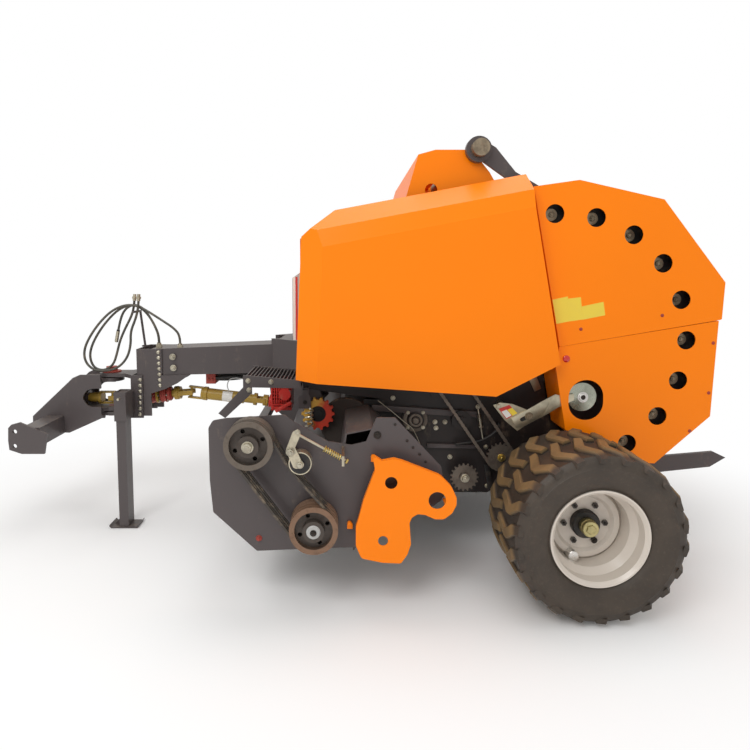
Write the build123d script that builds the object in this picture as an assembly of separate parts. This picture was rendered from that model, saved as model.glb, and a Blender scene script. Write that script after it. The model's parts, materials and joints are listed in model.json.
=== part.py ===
from build123d import *
from math import asin, atan2, cos, degrees, hypot, pi, radians, sin, tan
import os

# Round baler with a fixed chamber of steel rollers and a wide flail pickup, parked on its drawbar stand.
# Sizes are in millimetres. In the working frame x runs to the rear from the wheel axle, y to the right
# and z up from the ground. At export the model is moved along x, so that the origin lies on the ground
# under the middle of its overall box. Left is the side with the belt drive, at negative y.

# Running fits and gaps
PIN_FIT = 0.3
MOVING_GAP = 8.0
SHEET = 4.0

# Wheels and axle
WHEEL_RADIUS = 425.0
WHEEL_CENTRE_Y = 1160.0
TYRE_WIDTH = 490.0
TYRE_CARCASS_RADIUS = 404.0
TYRE_BULGE_RADIUS = 330.0
LUG_COUNT = 22
LUG_WIDTH = 50.0
LUG_KNEE_Y = 112.0
LUG_LINE = ((25.0, -10.0), (-12.0, LUG_KNEE_Y), (56.0, TYRE_WIDTH / 2))
RIM_FLANGE_RADIUS = 236.0
RIM_WIDTH = 430.0
BEAD_RADIUS = 222.0
RIM_WELL_RADIUS = 196.0
RIM_SHEET = 8.0
DISC_OUTSET = 20.0
DISC_THICKNESS = 10.0
HUB_RADIUS = 62.0
HUB_LENGTH = 184.0
BOLT_CIRCLE = 205.0
BOLT_COUNT = 6
NUT_RADIUS = 15.0
NUT_HEIGHT = 16.0
SPINDLE_RADIUS = 30.0
AXLE_SIDE = 120.0
AXLE_HALF_LENGTH = 860.0

# Bale chamber: rollers on one circle, numbered from the top of the tailgate
CHAMBER_CENTRE = (-30.0, 1301.0)
CHAMBER_RADIUS = 686.0
ROLLER_RADIUS = 95.0
ROLLER_SHAFT_RADIUS = 30.0
FIRST_ROLLER_ANGLE = 94.0
ROLLER_STEP = 18.7
TAILGATE_ROLLERS = range(0, 9)
FIXED_ROLLERS = (-1, -2, -3, -4, -5, -6, -7, -9, -10)
WALL_INNER_Y = 650.0
WALL_THICKNESS = 8.0
BEARING_RADIUS = 58.0
BEARING_DEPTH = 34.0

# Seam between the fixed body and the tailgate, and the tailgate's outline behind it
SEAM = ((-194.0, 2128.0), (-31.0, 1272.0), (-47.0, 1154.0), (15.0, 813.0), (240.0, 632.0))
TAILGATE_REAR = ((514.0, 623.0), (807.0, 888.0), (826.0, 1414.0), (842.0, 1422.0), (850.0, 1620.0),
                 (502.0, 2060.0), (48.0, 2162.0))
PANEL_OUTER_Y = 874.0
PANEL_SPLIT = ((-31.0, 1272.0), (834.0, 1418.0))
PANEL_HOLE_RADIUS = 50.0
ROLLER_END_Y = 812.0
SHAFT_BEARING = (-784.0, 818.0)
SHAFT_BEARING_RADIUS = 78.0
SHAFT_BEARING_BOSS = 44.0
SLOT_BOX = (28.0, 218.0, 867.0, 1089.0)
SIDE_DISC = (112.0, 990.0)
SIDE_DISC_RADIUS = 79.0
CROSS_TUBE_SIDE = 60.0
CROSS_TUBE_RING = 822.0
CROSS_TUBE_ANGLES = (72.0, 22.0, -20.0, -50.0)

# Tailgate hinge
HINGE = (-458.0, 2350.0)
HINGE_SHAFT_RADIUS = 47.0
HINGE_SHAFT_END_Y = 800.0
HINGE_HUB_RADIUS = 71.0
HINGE_ARM_Y = 708.0
HINGE_ARM_THICKNESS = 20.0
HINGE_HUB_LENGTH = 38.0

# Fixed body
FRONT_X = -1440.0
FRONT_TOP = (-1440.0, 1856.0)
SHOULDER = (-1236.0, 2008.0)
ROOF_REAR = (-204.0, 2199.0)
HOOD_OUTER_Y = 700.0
HOOD_PLATE = 10.0
FRONT_BOX_DEPTH = 56.0
FRONT_BOX_Z = (1268.0, 1682.0)
FRONT_BOX_HALF_WIDTH = 640.0

# Side doors
DOOR_OUTER_Y = 950.0
DOOR_EDGE_Y = 800.0
COVER_HALF_WIDTH = DOOR_EDGE_Y - 30
DOOR_SHEET = 4.0
DOOR_SLOPE = (191.0, 1028.0)
DOOR_FRONT_X = -1464.0
DOOR_FRONT_LEAN = 0.045
DOOR_FRONT_FOOT_Z = 1092.0
DOOR_LIP_HINGE_OFFSET = 11.0
DOOR_PIN_RADIUS = 6.0
DOOR_KNUCKLE_RADIUS = 11.0
DOOR_KNUCKLES = ((1150.0, 1190.0), (1700.0, 1740.0))
DOOR_BRACKETS = (1194.0, 1686.0)
DOOR_BRACKET_SHEET = 8.0
DOOR_BEVEL_X = -1345.0
DOOR_BEVEL_Y = 880.0

# Drawbar
BEAM_HALF_WIDTH = 125.0
BEAM_WALL = 8.0
BEAM_FRONT_X = -2508.0
BEAM_BOTTOM = (983.0, 1007.0)
BEAM_TOP = (1162.0, 1196.0)
BEAM_REAR_TOP = 1235.0
BEAM_FLARE_LENGTH = 250.0
BEAM_FLARE_HALF_WIDTH = 330.0
CROSSBEAM_DEPTH = 100.0
ADAPTER_PLATE = 12.0
ADAPTER_REACH = 92.0
ADAPTER_TOP = 1164.0
ADAPTER_FOOT = 707.0
ADAPTER_FRONT_X = BEAM_FRONT_X - ADAPTER_REACH
FORK_WEB_X = ADAPTER_FRONT_X - 40.0
FORK_Z = (695.0, 988.0)
LUG_PLATE = 25.0
LUG_PLATE_RADIUS = 80.0

# Turning hitch
HITCH_PIVOT_X = FORK_WEB_X - 183.0
HEAD_REACH = 498.0
HEAD_PLATE_Y = 118.0
HEAD_PLATE = 15.0
PIVOT_PIN_RADIUS = 30.0
CROSSBAR_SIDE = 120.0
CROSSBAR_REAR_X = HITCH_PIVOT_X - 283.0
CROSSBAR_BOTTOM_Z = 588.0
CROSSBAR_HALF_LENGTH = 445.0
END_PLATE = 16.0
LINK_HOLE_RADIUS = 14.0
LINK_HOLES = ((CROSSBAR_REAR_X - 149.0, 686.0), (CROSSBAR_REAR_X - 154.0, 594.0))

# Stand
STAND_X = FORK_WEB_X - 10.0
STAND_Y = -263.0
LEG_SIZE = (60.0, 100.0)
LEG_WALL = 5.0
LEG_TOP = 898.0
SLEEVE_GAP = 0.4
SLEEVE_WALL = 8.0
SLEEVE_Z = (715.0, 905.0)
FOOT_LENGTH = 190.0
FOOT_WIDTH = 120.0
FOOT_PLATE = 8.0

# Driveline
PTO_SHAFT_RADIUS = 17.5
PTO_SEAT_RADIUS = 30.0
PTO_FRONT_X = HITCH_PIVOT_X - 287.0
PTO_FREE_LENGTH = 76.0
PTO_FRONT_Z = 807.0
MID_JOINT = (HITCH_PIVOT_X + 553.0, 845.0)
REAR_SHAFT_END = (-1762.0, 786.0)
DRIVE_TUBE_RADIUS = 40.0
YOKE_RADIUS = 43.0
PRONG_HALF_WIDTH = 16.0
PRONG_THICKNESS = 11.0
GEARBOX_X = (-1700.0, -1560.0)
GEARBOX_Z = (735.0, 905.0)
GEARBOX_HALF_WIDTH = 95.0
DRIVE_SHAFT = (-1352.0, 858.0)
CLUTCH_RING_RADIUS = 96.0

# Step
STEP_SLATS = 14

# Flail pickup
PICKUP_PIVOT = (-746.0, 564.0)
PICKUP_PIVOT_RADIUS = 38.0
PICKUP_PLATE_Y = 1170.0
PICKUP_PLATE = 8.0
ROTOR = (-1348.0, 436.0)
ROTOR_TUBE_RADIUS = 80.0
FLAIL_REACH = 215.0
FLAIL_ROWS = 4
FLAILS_PER_ROW = 10
FLAIL_WIDTH = 70.0
FLAIL_THICKNESS = 10.0
ROTOR_HOOD_RADIUS = 250.0
AUGER = (-972.0, 651.0)
AUGER_TUBE_RADIUS = 50.0
AUGER_RADIUS = 108.0
AUGER_PITCH = 280.0
AUGER_SHEET = 6.0
TROUGH_RADIUS = 130.0
PICKUP_SHEET = 6.0

# Guard on the left of the pickup
GUARD_STANDOFF = 97.0
GUARD_RIM = 30.0
GUARD_HOLES = (((-974.0, 661.0), 30.0), ((-751.0, 574.0), 42.0), ((-1012.0, 372.0), 24.0))
GUARD_POSTS = ((-1080.0, 480.0), (-840.0, 700.0), (-920.0, 310.0), (-700.0, 540.0))
GUARD_POST_RADIUS = 9.0

# Belt drive on the left of the pickup
UPPER_PULLEY = (-1656.0, 851.0)
IDLER = (-1410.0, 768.0)
IDLER_RADIUS = 55.0
PULLEY_RADIUS = 118.0
PULLEY_Y = (-1310.0, -1250.0)
BELT_RADIUS = 108.0
BELT_THICKNESS = 12.0
BELT_WIDTH = 10.0
BELT_Y = (-1268.0, -1292.0)
GROOVE_DEPTH = 20.0
IDLER_ARM_PIVOT = (-1454.0, 829.0)
TENSION_ROD = ((-1412.0, 912.0), (-1196.0, 791.0))
TENSION_ROD_RADIUS = 6.0
TENSION_TAB = (-1206.0, 778.0)

# Chain drive in the left compartment
CHAIN_LINKS = 77
CHAIN_PLATE = 2.5
CHAIN_PLATE_HALF = 9.5
CHAIN_WAIST_HALF = 6.5
CHAIN_ROLLER_RADIUS = 5.5
SPROCKET_TEETH = 19
SPROCKET_THICKNESS = 10.0
SPROCKET_OUTSET = 55.0
SPROCKET_HUB_RADIUS = 30.0
TOOTH_HALF_DEPTH = 6.0
LOWER_SPROCKETS = ((-506.0, 498.0), (-294.0, 611.0))
TOP_SPROCKET_ROLLER = -5

# Hoses parked on a holder over the drawbar: each route is (x, y, z) from its gland to its free end
HOSE_RADIUS = 8.0
HOLDER_FOOT = (ADAPTER_FRONT_X + 6.0, 25.0)
HOLDER_BAR = (-2622.0, 1412.0)
HOLDER_BAR_Y = (-112.0, 34.0)
HOLDER_RADIUS = 8.0
GLAND_TOP = 1195.0
COUPLER_RADIUS = 12.0
COUPLER_LENGTH = 46.0
PLUG_LENGTH = 84.0
HOSE_ROUTES = {
    "hose_outer": (
        (-2322, -70, GLAND_TOP), (-2322, -70, 1250), (-2362, -70, 1300), (-2440, -70, 1352), (-2520, -71, 1405),
        (-2600, -72, 1452), (-2680, -74, 1462), (-2775, -77, 1425), (-2860, -80, 1345), (-2930, -83, 1250),
        (-2976, -85, 1155), (-2972, -85, 1070), (-2915, -86, 1012), (-2832, -87, 1006), (-2745, -88, 1028),
        (-2680, -90, 1095), (-2652, -92, 1185), (-2650, -94, 1280), (-2614, -96, 1360), (-2592, -98, 1435),
        (-2588, -99, 1487)),
    "hose_inner": (
        (-2473, -45, GLAND_TOP), (-2473, -45, 1240), (-2495, -45, 1305), (-2535, -45, 1380), (-2590, -46, 1440),
        (-2662, -47, 1461), (-2745, -49, 1428), (-2825, -51, 1350), (-2895, -54, 1255), (-2942, -56, 1160),
        (-2950, -57, 1085), (-2920, -57, 1020), (-2850, -56, 1004), (-2790, -54, 1045), (-2765, -51, 1120),
        (-2743, -47, 1210), (-2706, -42, 1295), (-2664, -36, 1375), (-2646, -31, 1435), (-2642, -28, 1485)),
    "hose_short": (
        (-2487, -8, GLAND_TOP), (-2487, -8, 1240), (-2510, -8, 1305), (-2545, -8, 1372), (-2588, -9, 1434),
        (-2650, -10, 1461), (-2712, -12, 1431), (-2748, -14, 1360), (-2764, -15, 1280)),
}

# Bale ramp
RAMP_Y = 600.0
RAMP_BAR = 24.0
RAMP_TIP_X = 1085.0

# The overall box runs from the hitch head's nose to the ramp's tip
NOSE_X = HITCH_PIVOT_X - HEAD_REACH
AXLE_X = -(NOSE_X + RAMP_TIP_X) / 2


# General helpers

def outline(corners):
    """Face from corners given as (u, v) or (u, v, fillet radius)."""
    points = [(corner[0], corner[1]) for corner in corners]
    radii = [corner[2] if len(corner) == 3 else 0 for corner in corners]
    return make_face(FilletPolyline(*points, radius=radii, close=True))


def side_slab(corners, y0, y1):
    """Solid with a side-view outline (x, z), between two values of y."""
    face = Plane.XZ.offset(-min(y0, y1)) * outline(corners)
    return extrude(face, amount=abs(y1 - y0), dir=(0, 1, 0))


def top_slab(corners, z0, z1):
    """Solid with a top-view outline (x, y), between two values of z."""
    return extrude(Pos(0, 0, z0) * outline(corners), amount=z1 - z0, dir=(0, 0, 1))


def block(x0, x1, y0, y1, z0, z1):
    """Rectangular solid between the given limits."""
    return Pos((x0 + x1) / 2, (y0 + y1) / 2, (z0 + z1) / 2) * Box(abs(x1 - x0), abs(y1 - y0), abs(z1 - z0))


def rod_x(y, z, radius, x0, x1):
    """Cylinder along x."""
    return Pos((x0 + x1) / 2, y, z) * Rot(0, 90, 0) * Cylinder(radius, abs(x1 - x0))


def rod_y(centre, radius, y0, y1):
    """Cylinder along y round a centre (x, z)."""
    return Pos(centre[0], (y0 + y1) / 2, centre[1]) * Rot(90, 0, 0) * Cylinder(radius, abs(y1 - y0))


def rod_z(x, y, radius, z0, z1):
    """Cylinder along z."""
    return Pos(x, y, (z0 + z1) / 2) * Cylinder(radius, abs(z1 - z0))


def joined(*pieces):
    """Pieces that touch or overlap as one solid."""
    first, *rest = pieces
    return first.fuse(*rest)


def mirrored(shape):
    """The same shape on the other side of the machine."""
    return mirror(shape, about=Plane.XZ)


def both_sides(shape):
    """A shape and its mirror image."""
    return [shape, mirrored(shape)]


def polar(centre, radius, angle):
    """Point (x, z) on a circle, angle in degrees from the rear, upwards."""
    return (centre[0] + radius * cos(radians(angle)), centre[1] + radius * sin(radians(angle)))


def ring_sector(centre, inner, outer, start, end, y0, y1):
    """Part of a tube along y, between two angles."""
    middle = (start + end) / 2
    edges = [
        ThreePointArc(polar(centre, inner, start), polar(centre, inner, middle), polar(centre, inner, end)),
        Line(polar(centre, inner, end), polar(centre, outer, end)),
        ThreePointArc(polar(centre, outer, end), polar(centre, outer, middle), polar(centre, outer, start)),
        Line(polar(centre, outer, start), polar(centre, inner, start)),
    ]
    face = Plane.XZ.offset(-min(y0, y1)) * make_face(edges)
    return extrude(face, amount=abs(y1 - y0), dir=(0, 1, 0))


def strip(start, end, thickness, y0, y1):
    """Flat sheet along y whose side view is a straight band from start to end."""
    length = hypot(end[0] - start[0], end[1] - start[1])
    across = ((end[1] - start[1]) / length * thickness / 2, -(end[0] - start[0]) / length * thickness / 2)
    corners = [
        (start[0] + across[0], start[1] + across[1]), (end[0] + across[0], end[1] + across[1]),
        (end[0] - across[0], end[1] - across[1]), (start[0] - across[0], start[1] - across[1]),
    ]
    return side_slab(corners, y0, y1)


def loop_face(wheels, offset):
    """Face inside a belt that runs round wheels (x, z, radius, sense), its line moved out by offset.

    Sense is 1 where the belt runs round the outside of the loop's wheel and -1 where it bends back.
    """
    count = len(wheels)
    arrive, leave = [None] * count, [None] * count
    for i in range(count):
        x1, z1, r1, s1 = wheels[i]
        x2, z2, r2, s2 = wheels[(i + 1) % count]
        k = s2 * (r2 + s2 * offset) - s1 * (r1 + s1 * offset)
        angle = atan2(z2 - z1, x2 - x1) - asin(k / hypot(x2 - x1, z2 - z1))
        normal = (sin(angle), -cos(angle))
        leave[i] = (x1 + s1 * (r1 + s1 * offset) * normal[0], z1 + s1 * (r1 + s1 * offset) * normal[1])
        arrive[(i + 1) % count] = (x2 + s2 * (r2 + s2 * offset) * normal[0],
                                   z2 + s2 * (r2 + s2 * offset) * normal[1])
    edges = []
    for i in range(count):
        x, z, r, s = wheels[i]
        start = atan2(arrive[i][1] - z, arrive[i][0] - x)
        end = atan2(leave[i][1] - z, leave[i][0] - x)
        sweep = (end - start) * s % (2 * pi) * s
        middle = start + sweep / 2
        radius = r + s * offset
        edges.append(ThreePointArc(arrive[i], (x + radius * cos(middle), z + radius * sin(middle)), leave[i]))
        edges.append(Line(leave[i], arrive[(i + 1) % count]))
    return make_face(edges)


def belt(wheels, thickness, y0, y1):
    """Closed band of constant thickness round wheels, between two values of y."""
    face = loop_face(wheels, thickness / 2) - loop_face(wheels, -thickness / 2)
    return extrude(Plane.XZ.offset(-min(y0, y1)) * face, amount=abs(y1 - y0), dir=(0, 1, 0))


def turned(profile, centre):
    """Solid of revolution about the line along y through centre, from corners (radius, y)."""
    face = make_face(Polyline(*[(radius, y) for radius, y in profile], close=True))
    return Pos(centre[0], 0, centre[1]) * revolve(face, Axis.Y)


def sloped(start, end):
    """Location at start whose local x axis points at end, both (x, z) on the centre plane."""
    rise = degrees(atan2(end[1] - start[1], end[0] - start[0]))
    return Pos(start[0], 0, start[1]) * Rot(0, -rise, 0)


def roller_centre(number):
    """Centre (x, z) of a chamber roller."""
    return polar(CHAMBER_CENTRE, CHAMBER_RADIUS, FIRST_ROLLER_ANGLE - ROLLER_STEP * number)


def rod(start, end, radius):
    """Cylinder from one point in space to another."""
    line = Line(start, end)
    return extrude(Plane(origin=line @ 0, z_dir=line % 0) * Circle(radius), amount=line.length)


# Wheels

def tyre(side):
    """Tyre with a round-shouldered carcass and two rows of bent lugs that meet in the middle."""
    half = TYRE_WIDTH / 2
    bead_y = RIM_WIDTH / 2 - 13
    cavity = TYRE_CARCASS_RADIUS - 34
    profile = [
        (BEAD_RADIUS, -bead_y), (BEAD_RADIUS + 28, -bead_y), (TYRE_BULGE_RADIUS, -half),
        (TYRE_CARCASS_RADIUS - 16, -half + 22), (TYRE_CARCASS_RADIUS, -half / 2),
        (TYRE_CARCASS_RADIUS, half / 2),
        (TYRE_CARCASS_RADIUS - 16, half - 22), (TYRE_BULGE_RADIUS, half), (BEAD_RADIUS + 28, bead_y),
        (BEAD_RADIUS, bead_y), (BEAD_RADIUS + 20, bead_y - 40), (cavity, half - 60), (cavity, -half + 60),
        (BEAD_RADIUS + 20, -bead_y + 40),
    ]
    carcass = turned(profile, (0, 0))
    lug_foot = TYRE_CARCASS_RADIUS - 34
    band = Rot(90, 0, 0) * (Cylinder(WHEEL_RADIUS, TYRE_WIDTH - 12) - Cylinder(lug_foot, TYRE_WIDTH))
    front = [(x - LUG_WIDTH / 2, y) for x, y in LUG_LINE]
    rear = [(x + LUG_WIDTH / 2, y) for x, y in reversed(LUG_LINE)]
    lug_face = make_face(Polyline(*front, *rear, close=True))
    lug = extrude(Pos(0, 0, lug_foot) * lug_face, amount=TYRE_WIDTH) & band
    pitch = 360 / LUG_COUNT
    lugs = []
    for number in range(LUG_COUNT):
        lugs.append(Rot(0, pitch * number, 0) * lug)
        lugs.append(Rot(0, pitch * (number + 0.5), 0) * mirrored(lug))
    return Pos(0, side * WHEEL_CENTRE_Y, WHEEL_RADIUS) * joined(carcass, *lugs)


def rim(side):
    """Drop-centre rim with its disc, hub and wheel nuts, for the right side when side is 1."""
    half = RIM_WIDTH / 2
    sheet = RIM_SHEET
    barrel = [
        (RIM_FLANGE_RADIUS, -half), (RIM_FLANGE_RADIUS, -half + 8), (BEAD_RADIUS, -half + 12),
        (BEAD_RADIUS, -half + 70), (RIM_WELL_RADIUS, -half + 105), (RIM_WELL_RADIUS, half - 105),
        (BEAD_RADIUS, half - 70), (BEAD_RADIUS, half - 12), (RIM_FLANGE_RADIUS, half - 8),
        (RIM_FLANGE_RADIUS, half), (RIM_FLANGE_RADIUS - sheet, half), (BEAD_RADIUS - sheet, half - 15),
        (BEAD_RADIUS - sheet, half - 73), (RIM_WELL_RADIUS - sheet, half - 108),
        (RIM_WELL_RADIUS - sheet, -half + 108), (BEAD_RADIUS - sheet, -half + 73),
        (BEAD_RADIUS - sheet, -half + 15), (RIM_FLANGE_RADIUS - sheet, -half),
    ]
    face_y = DISC_OUTSET
    back_y = DISC_OUTSET - DISC_THICKNESS
    disc = [
        (HUB_RADIUS - 8, back_y), (HUB_RADIUS - 8, face_y), (132, face_y), (146, face_y + 16),
        (172, face_y + 16),
        (RIM_WELL_RADIUS - sheet + 1, face_y - 6), (RIM_WELL_RADIUS - sheet + 1, back_y - 6),
        (170, back_y + 16 - 4), (150, back_y + 12), (136, back_y),
    ]
    bore = SPINDLE_RADIUS + PIN_FIT
    hub_face = face_y + 4
    hub = [(bore, hub_face - HUB_LENGTH), (bore, hub_face), (HUB_RADIUS, hub_face), (HUB_RADIUS, back_y - 40),
           (50, back_y - 60), (50, hub_face - HUB_LENGTH)]
    flange = [(HUB_RADIUS - 10, back_y - 14), (HUB_RADIUS - 10, back_y), (BOLT_CIRCLE / 2 + 24, back_y),
              (BOLT_CIRCLE / 2 + 24, back_y - 14)]
    nuts = []
    for number in range(BOLT_COUNT):
        x, z = polar((0, 0), BOLT_CIRCLE / 2, 360 / BOLT_COUNT * number)
        nuts.append(Pos(x, face_y + NUT_HEIGHT / 2, z) * Rot(90, 0, 0) * extrude(
            RegularPolygon(NUT_RADIUS, 6), amount=NUT_HEIGHT / 2, both=True))
    centre = (0, 0)
    turned_parts = [turned(profile, centre) for profile in (barrel, disc, hub, flange)]
    wheel = joined(*turned_parts, *nuts)
    if side < 0:
        wheel = mirrored(wheel)
    return Pos(0, side * WHEEL_CENTRE_Y, WHEEL_RADIUS) * wheel


def axle_beam():
    """Square axle with a stub spindle and its nut at each end."""
    half = AXLE_SIDE / 2
    centre = (0, WHEEL_RADIUS)
    beam = block(-half, half, -AXLE_HALF_LENGTH, AXLE_HALF_LENGTH, WHEEL_RADIUS - half, WHEEL_RADIUS + half)
    end_y = WHEEL_CENTRE_Y + DISC_OUTSET + 4
    spindle = rod_y(centre, SPINDLE_RADIUS, AXLE_HALF_LENGTH - 10, end_y + 4)
    nut = rod_y(centre, SPINDLE_RADIUS + 8, end_y + 2, end_y + 32)
    shoulder = rod_y(centre, SPINDLE_RADIUS + 14, AXLE_HALF_LENGTH - 10, end_y - HUB_LENGTH - 2)
    return joined(beam, *both_sides(spindle), *both_sides(nut), *both_sides(shoulder))


# Fixed body

def wall_corners():
    """Outline of a fixed side wall, from the top of the seam round to the front and over the roof."""
    gap = MOVING_GAP
    seam = [(x - gap, z) for x, z in SEAM[1:4]]
    axle_half = AXLE_SIDE / 2
    pivot_x, pivot_z = PICKUP_PIVOT
    foot_z = 375.0
    return [
        ROOF_REAR, (seam[0][0] - 2, seam[0][1]), seam[1], (seam[2][0] - 2, seam[2][1] - 6),
        (SEAM[4][0] - 16, SEAM[4][1]), (SEAM[4][0] - 16, 560), (axle_half + 40, WHEEL_RADIUS + axle_half),
        (-axle_half - 60, WHEEL_RADIUS + axle_half), (-250, WHEEL_RADIUS + 7), (-350, foot_z), (-620, foot_z),
        (pivot_x + 30, pivot_z - 60, 30), (pivot_x - 48, pivot_z - 50, 40), (pivot_x - 48, pivot_z + 86, 60),
        (-870, 760, 60), (-960, 935, 60), (FRONT_X, 1000), FRONT_TOP, SHOULDER,
    ]


def chamber_wall(side):
    """Side wall of the fixed chamber half with a bearing housing at each roller."""
    y0 = side * WALL_INNER_Y
    y1 = side * (WALL_INNER_Y + WALL_THICKNESS)
    y2 = side * (WALL_INNER_Y + WALL_THICKNESS + BEARING_DEPTH)
    plate = side_slab(wall_corners(), y0, y1)
    housings = [rod_y(roller_centre(number), BEARING_RADIUS, y1, y2) for number in FIXED_ROLLERS]
    end_radius, y3 = ROLLER_SHAFT_RADIUS - 6, y2 + side * 16
    ends = [rod_y(roller_centre(number), end_radius, y2, y3) for number in FIXED_ROLLERS]
    flange = rod_y(SHAFT_BEARING, SHAFT_BEARING_RADIUS, y1, y1 + side * BEARING_DEPTH / 2)
    boss = rod_y(SHAFT_BEARING, SHAFT_BEARING_BOSS, y1, y2)
    wall = joined(plate, *housings, *ends, flange, boss)
    return wall - rod_y(PICKUP_PIVOT, PICKUP_PIVOT_RADIUS, y0 - side * 20, y1 + side * 20)


def roller(number, end_y):
    """Chamber roller with a shaft that ends at plus and minus end_y."""
    centre = roller_centre(number)
    body = rod_y(centre, ROLLER_RADIUS, -WALL_INNER_Y + 12, WALL_INNER_Y - 12)
    return joined(body, rod_y(centre, ROLLER_SHAFT_RADIUS, -end_y, end_y))


def fixed_rollers():
    """Rollers of the fixed half, seated between the walls."""
    return [roller(number, WALL_INNER_Y) for number in FIXED_ROLLERS]


def front_cover():
    """Folded sheet over the front, the shoulder and the sloping roof, lying on the walls' edges."""
    wide, narrow = COVER_HALF_WIDTH, HOOD_OUTER_Y
    fold = (SHOULDER[0] - 1.6, SHOULDER[1] + SHEET)
    front = [
        (FRONT_X, BEAM_REAR_TOP + 5), FRONT_TOP, SHOULDER, fold, (FRONT_TOP[0] - SHEET, FRONT_TOP[1] + 2.4),
        (FRONT_X - SHEET, BEAM_REAR_TOP + 5),
    ]
    roof = [SHOULDER, ROOF_REAR, (ROOF_REAR[0], ROOF_REAR[1] + SHEET), fold]
    return joined(side_slab(front, -wide, wide), side_slab(roof, -narrow, narrow))


def roof_z(x):
    """Height of the roof sheet's upper face at x, behind the shoulder."""
    start_x = SHOULDER[0] - 1.6
    share = (x - start_x) / (ROOF_REAR[0] - start_x)
    return SHOULDER[1] + SHEET + share * (ROOF_REAR[1] - SHOULDER[1])


def top_hood():
    """Hood across the roof: two end plates that carry the hinge shaft, and a folded sheet."""
    front_x, rear_x = -857.0, -330.0
    crown = [(-786.0, 2330.0), (-690.0, 2356.0), (-527.0, 2349.0)]
    hinge_x, hinge_z = HINGE
    plate_corners = [
        (front_x, roof_z(front_x)), crown[0], crown[1], (hinge_x - 30, hinge_z + 6), (-387.0, 2233.0),
        (-363.0, 2192.0), (rear_x, roof_z(rear_x)),
    ]
    y0, y1 = HOOD_OUTER_Y - HOOD_PLATE, HOOD_OUTER_Y
    plate = side_slab(plate_corners, y0, y1) + rod_y(HINGE, HINGE_HUB_RADIUS - 8, y0, y1)
    plate = plate - rod_y(HINGE, HINGE_SHAFT_RADIUS, y0 - 1, y1 + 1)
    plate = plate - rod_y((-712.0, 2135.0), 35, y0 - 1, y1 + 1)
    sheet_corners = [
        (front_x, roof_z(front_x)), *crown,
        (crown[2][0], crown[2][1] - SHEET), (crown[1][0], crown[1][1] - SHEET),
        (crown[0][0] + 3, crown[0][1] - 3), (front_x + SHEET, roof_z(front_x + SHEET)),
    ]
    sheet = side_slab(sheet_corners, -y0, y0)
    return joined(sheet, plate, mirrored(plate))


def hinge_shaft():
    """Shaft of the tailgate hinge."""
    return rod_y(HINGE, HINGE_SHAFT_RADIUS, -HINGE_SHAFT_END_Y, HINGE_SHAFT_END_Y)


def front_box():
    """Shallow box with cut corners on the front of the body."""
    x1 = FRONT_X - SHEET
    x0 = x1 - FRONT_BOX_DEPTH
    z0, z1 = FRONT_BOX_Z
    corners = [(x1, z0), (x0, z0 + 40), (x0, z1 - 40), (x1, z1)]
    return side_slab(corners, -FRONT_BOX_HALF_WIDTH, FRONT_BOX_HALF_WIDTH)


def front_crossbeam():
    """Box beam between the side walls that the drawbar is welded to, with the drive shaft's bracket."""
    half = WALL_INNER_Y
    x0, x1 = FRONT_X, FRONT_X + CROSSBEAM_DEPTH
    z0, z1 = BEAM_BOTTOM[1], BEAM_REAR_TOP
    wall = BEAM_WALL
    tube = block(x0, x1, -half, half, z0, z1) - block(x0 + wall, x1 - wall, -half, half, z0 + wall, z1 - wall)
    shaft_x, shaft_z = DRIVE_SHAFT
    hanger_corners = [(x0 + 10, z0), (x0 + 10, z0 - 40), (shaft_x - 50, shaft_z), (shaft_x, shaft_z - 50),
                      (shaft_x + 50, shaft_z), (x1, z0 - 30), (x1, z0)]
    hangers = []
    for y in (-640.0, -130.0):
        hanger = side_slab(hanger_corners, y, y + 12)
        hangers.append(hanger - rod_y(DRIVE_SHAFT, 25, y - 1, y + 13))
    return joined(tube, *hangers)


def bale_ramp():
    """Two bars behind the axle, joined by cross tubes, that the finished bale rolls down."""
    half = AXLE_SIDE / 2
    corners = [
        (half, WHEEL_RADIUS - 20), (half, WHEEL_RADIUS + 50), (400, 520), (711, 580), (1012, 606),
        (RAMP_TIP_X, 571), (993, 514), (722, 485), (300, 420),
    ]
    y0, y1 = RAMP_Y - RAMP_BAR / 2, RAMP_Y + RAMP_BAR / 2
    bar = side_slab(corners, y0, y1)
    tubes = [rod_y(centre, 25, -y0, y0) for centre in ((380.0, 470.0), (760.0, 535.0))]
    return joined(bar, mirrored(bar), *tubes)


def feed_floor():
    """Floor between the pickup and the chamber."""
    start, end = (-876.0, 493.0), (-240.0, 552.0)
    return strip(start, end, PICKUP_SHEET, -WALL_INNER_Y, WALL_INNER_Y)


def pickup_pivots():
    """Stub tubes through the walls that the pickup swings on."""
    y0, y1 = WALL_INNER_Y - 8, PICKUP_PLATE_Y + PICKUP_PLATE + 8
    return both_sides(rod_y(PICKUP_PIVOT, PICKUP_PIVOT_RADIUS, y0, y1))


# Drawbar

def beam_bottom(x):
    """Height of the main beam's underside at x."""
    share = (x - BEAM_FRONT_X) / (FRONT_X - BEAM_FRONT_X)
    return BEAM_BOTTOM[0] + share * (BEAM_BOTTOM[1] - BEAM_BOTTOM[0])


def beam_top(x):
    """Height of the main beam's upper face at x, ahead of its flare."""
    share = (x - BEAM_FRONT_X) / (FRONT_X - BEAM_FLARE_LENGTH - BEAM_FRONT_X)
    return BEAM_TOP[0] + share * (BEAM_TOP[1] - BEAM_TOP[0])


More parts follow.
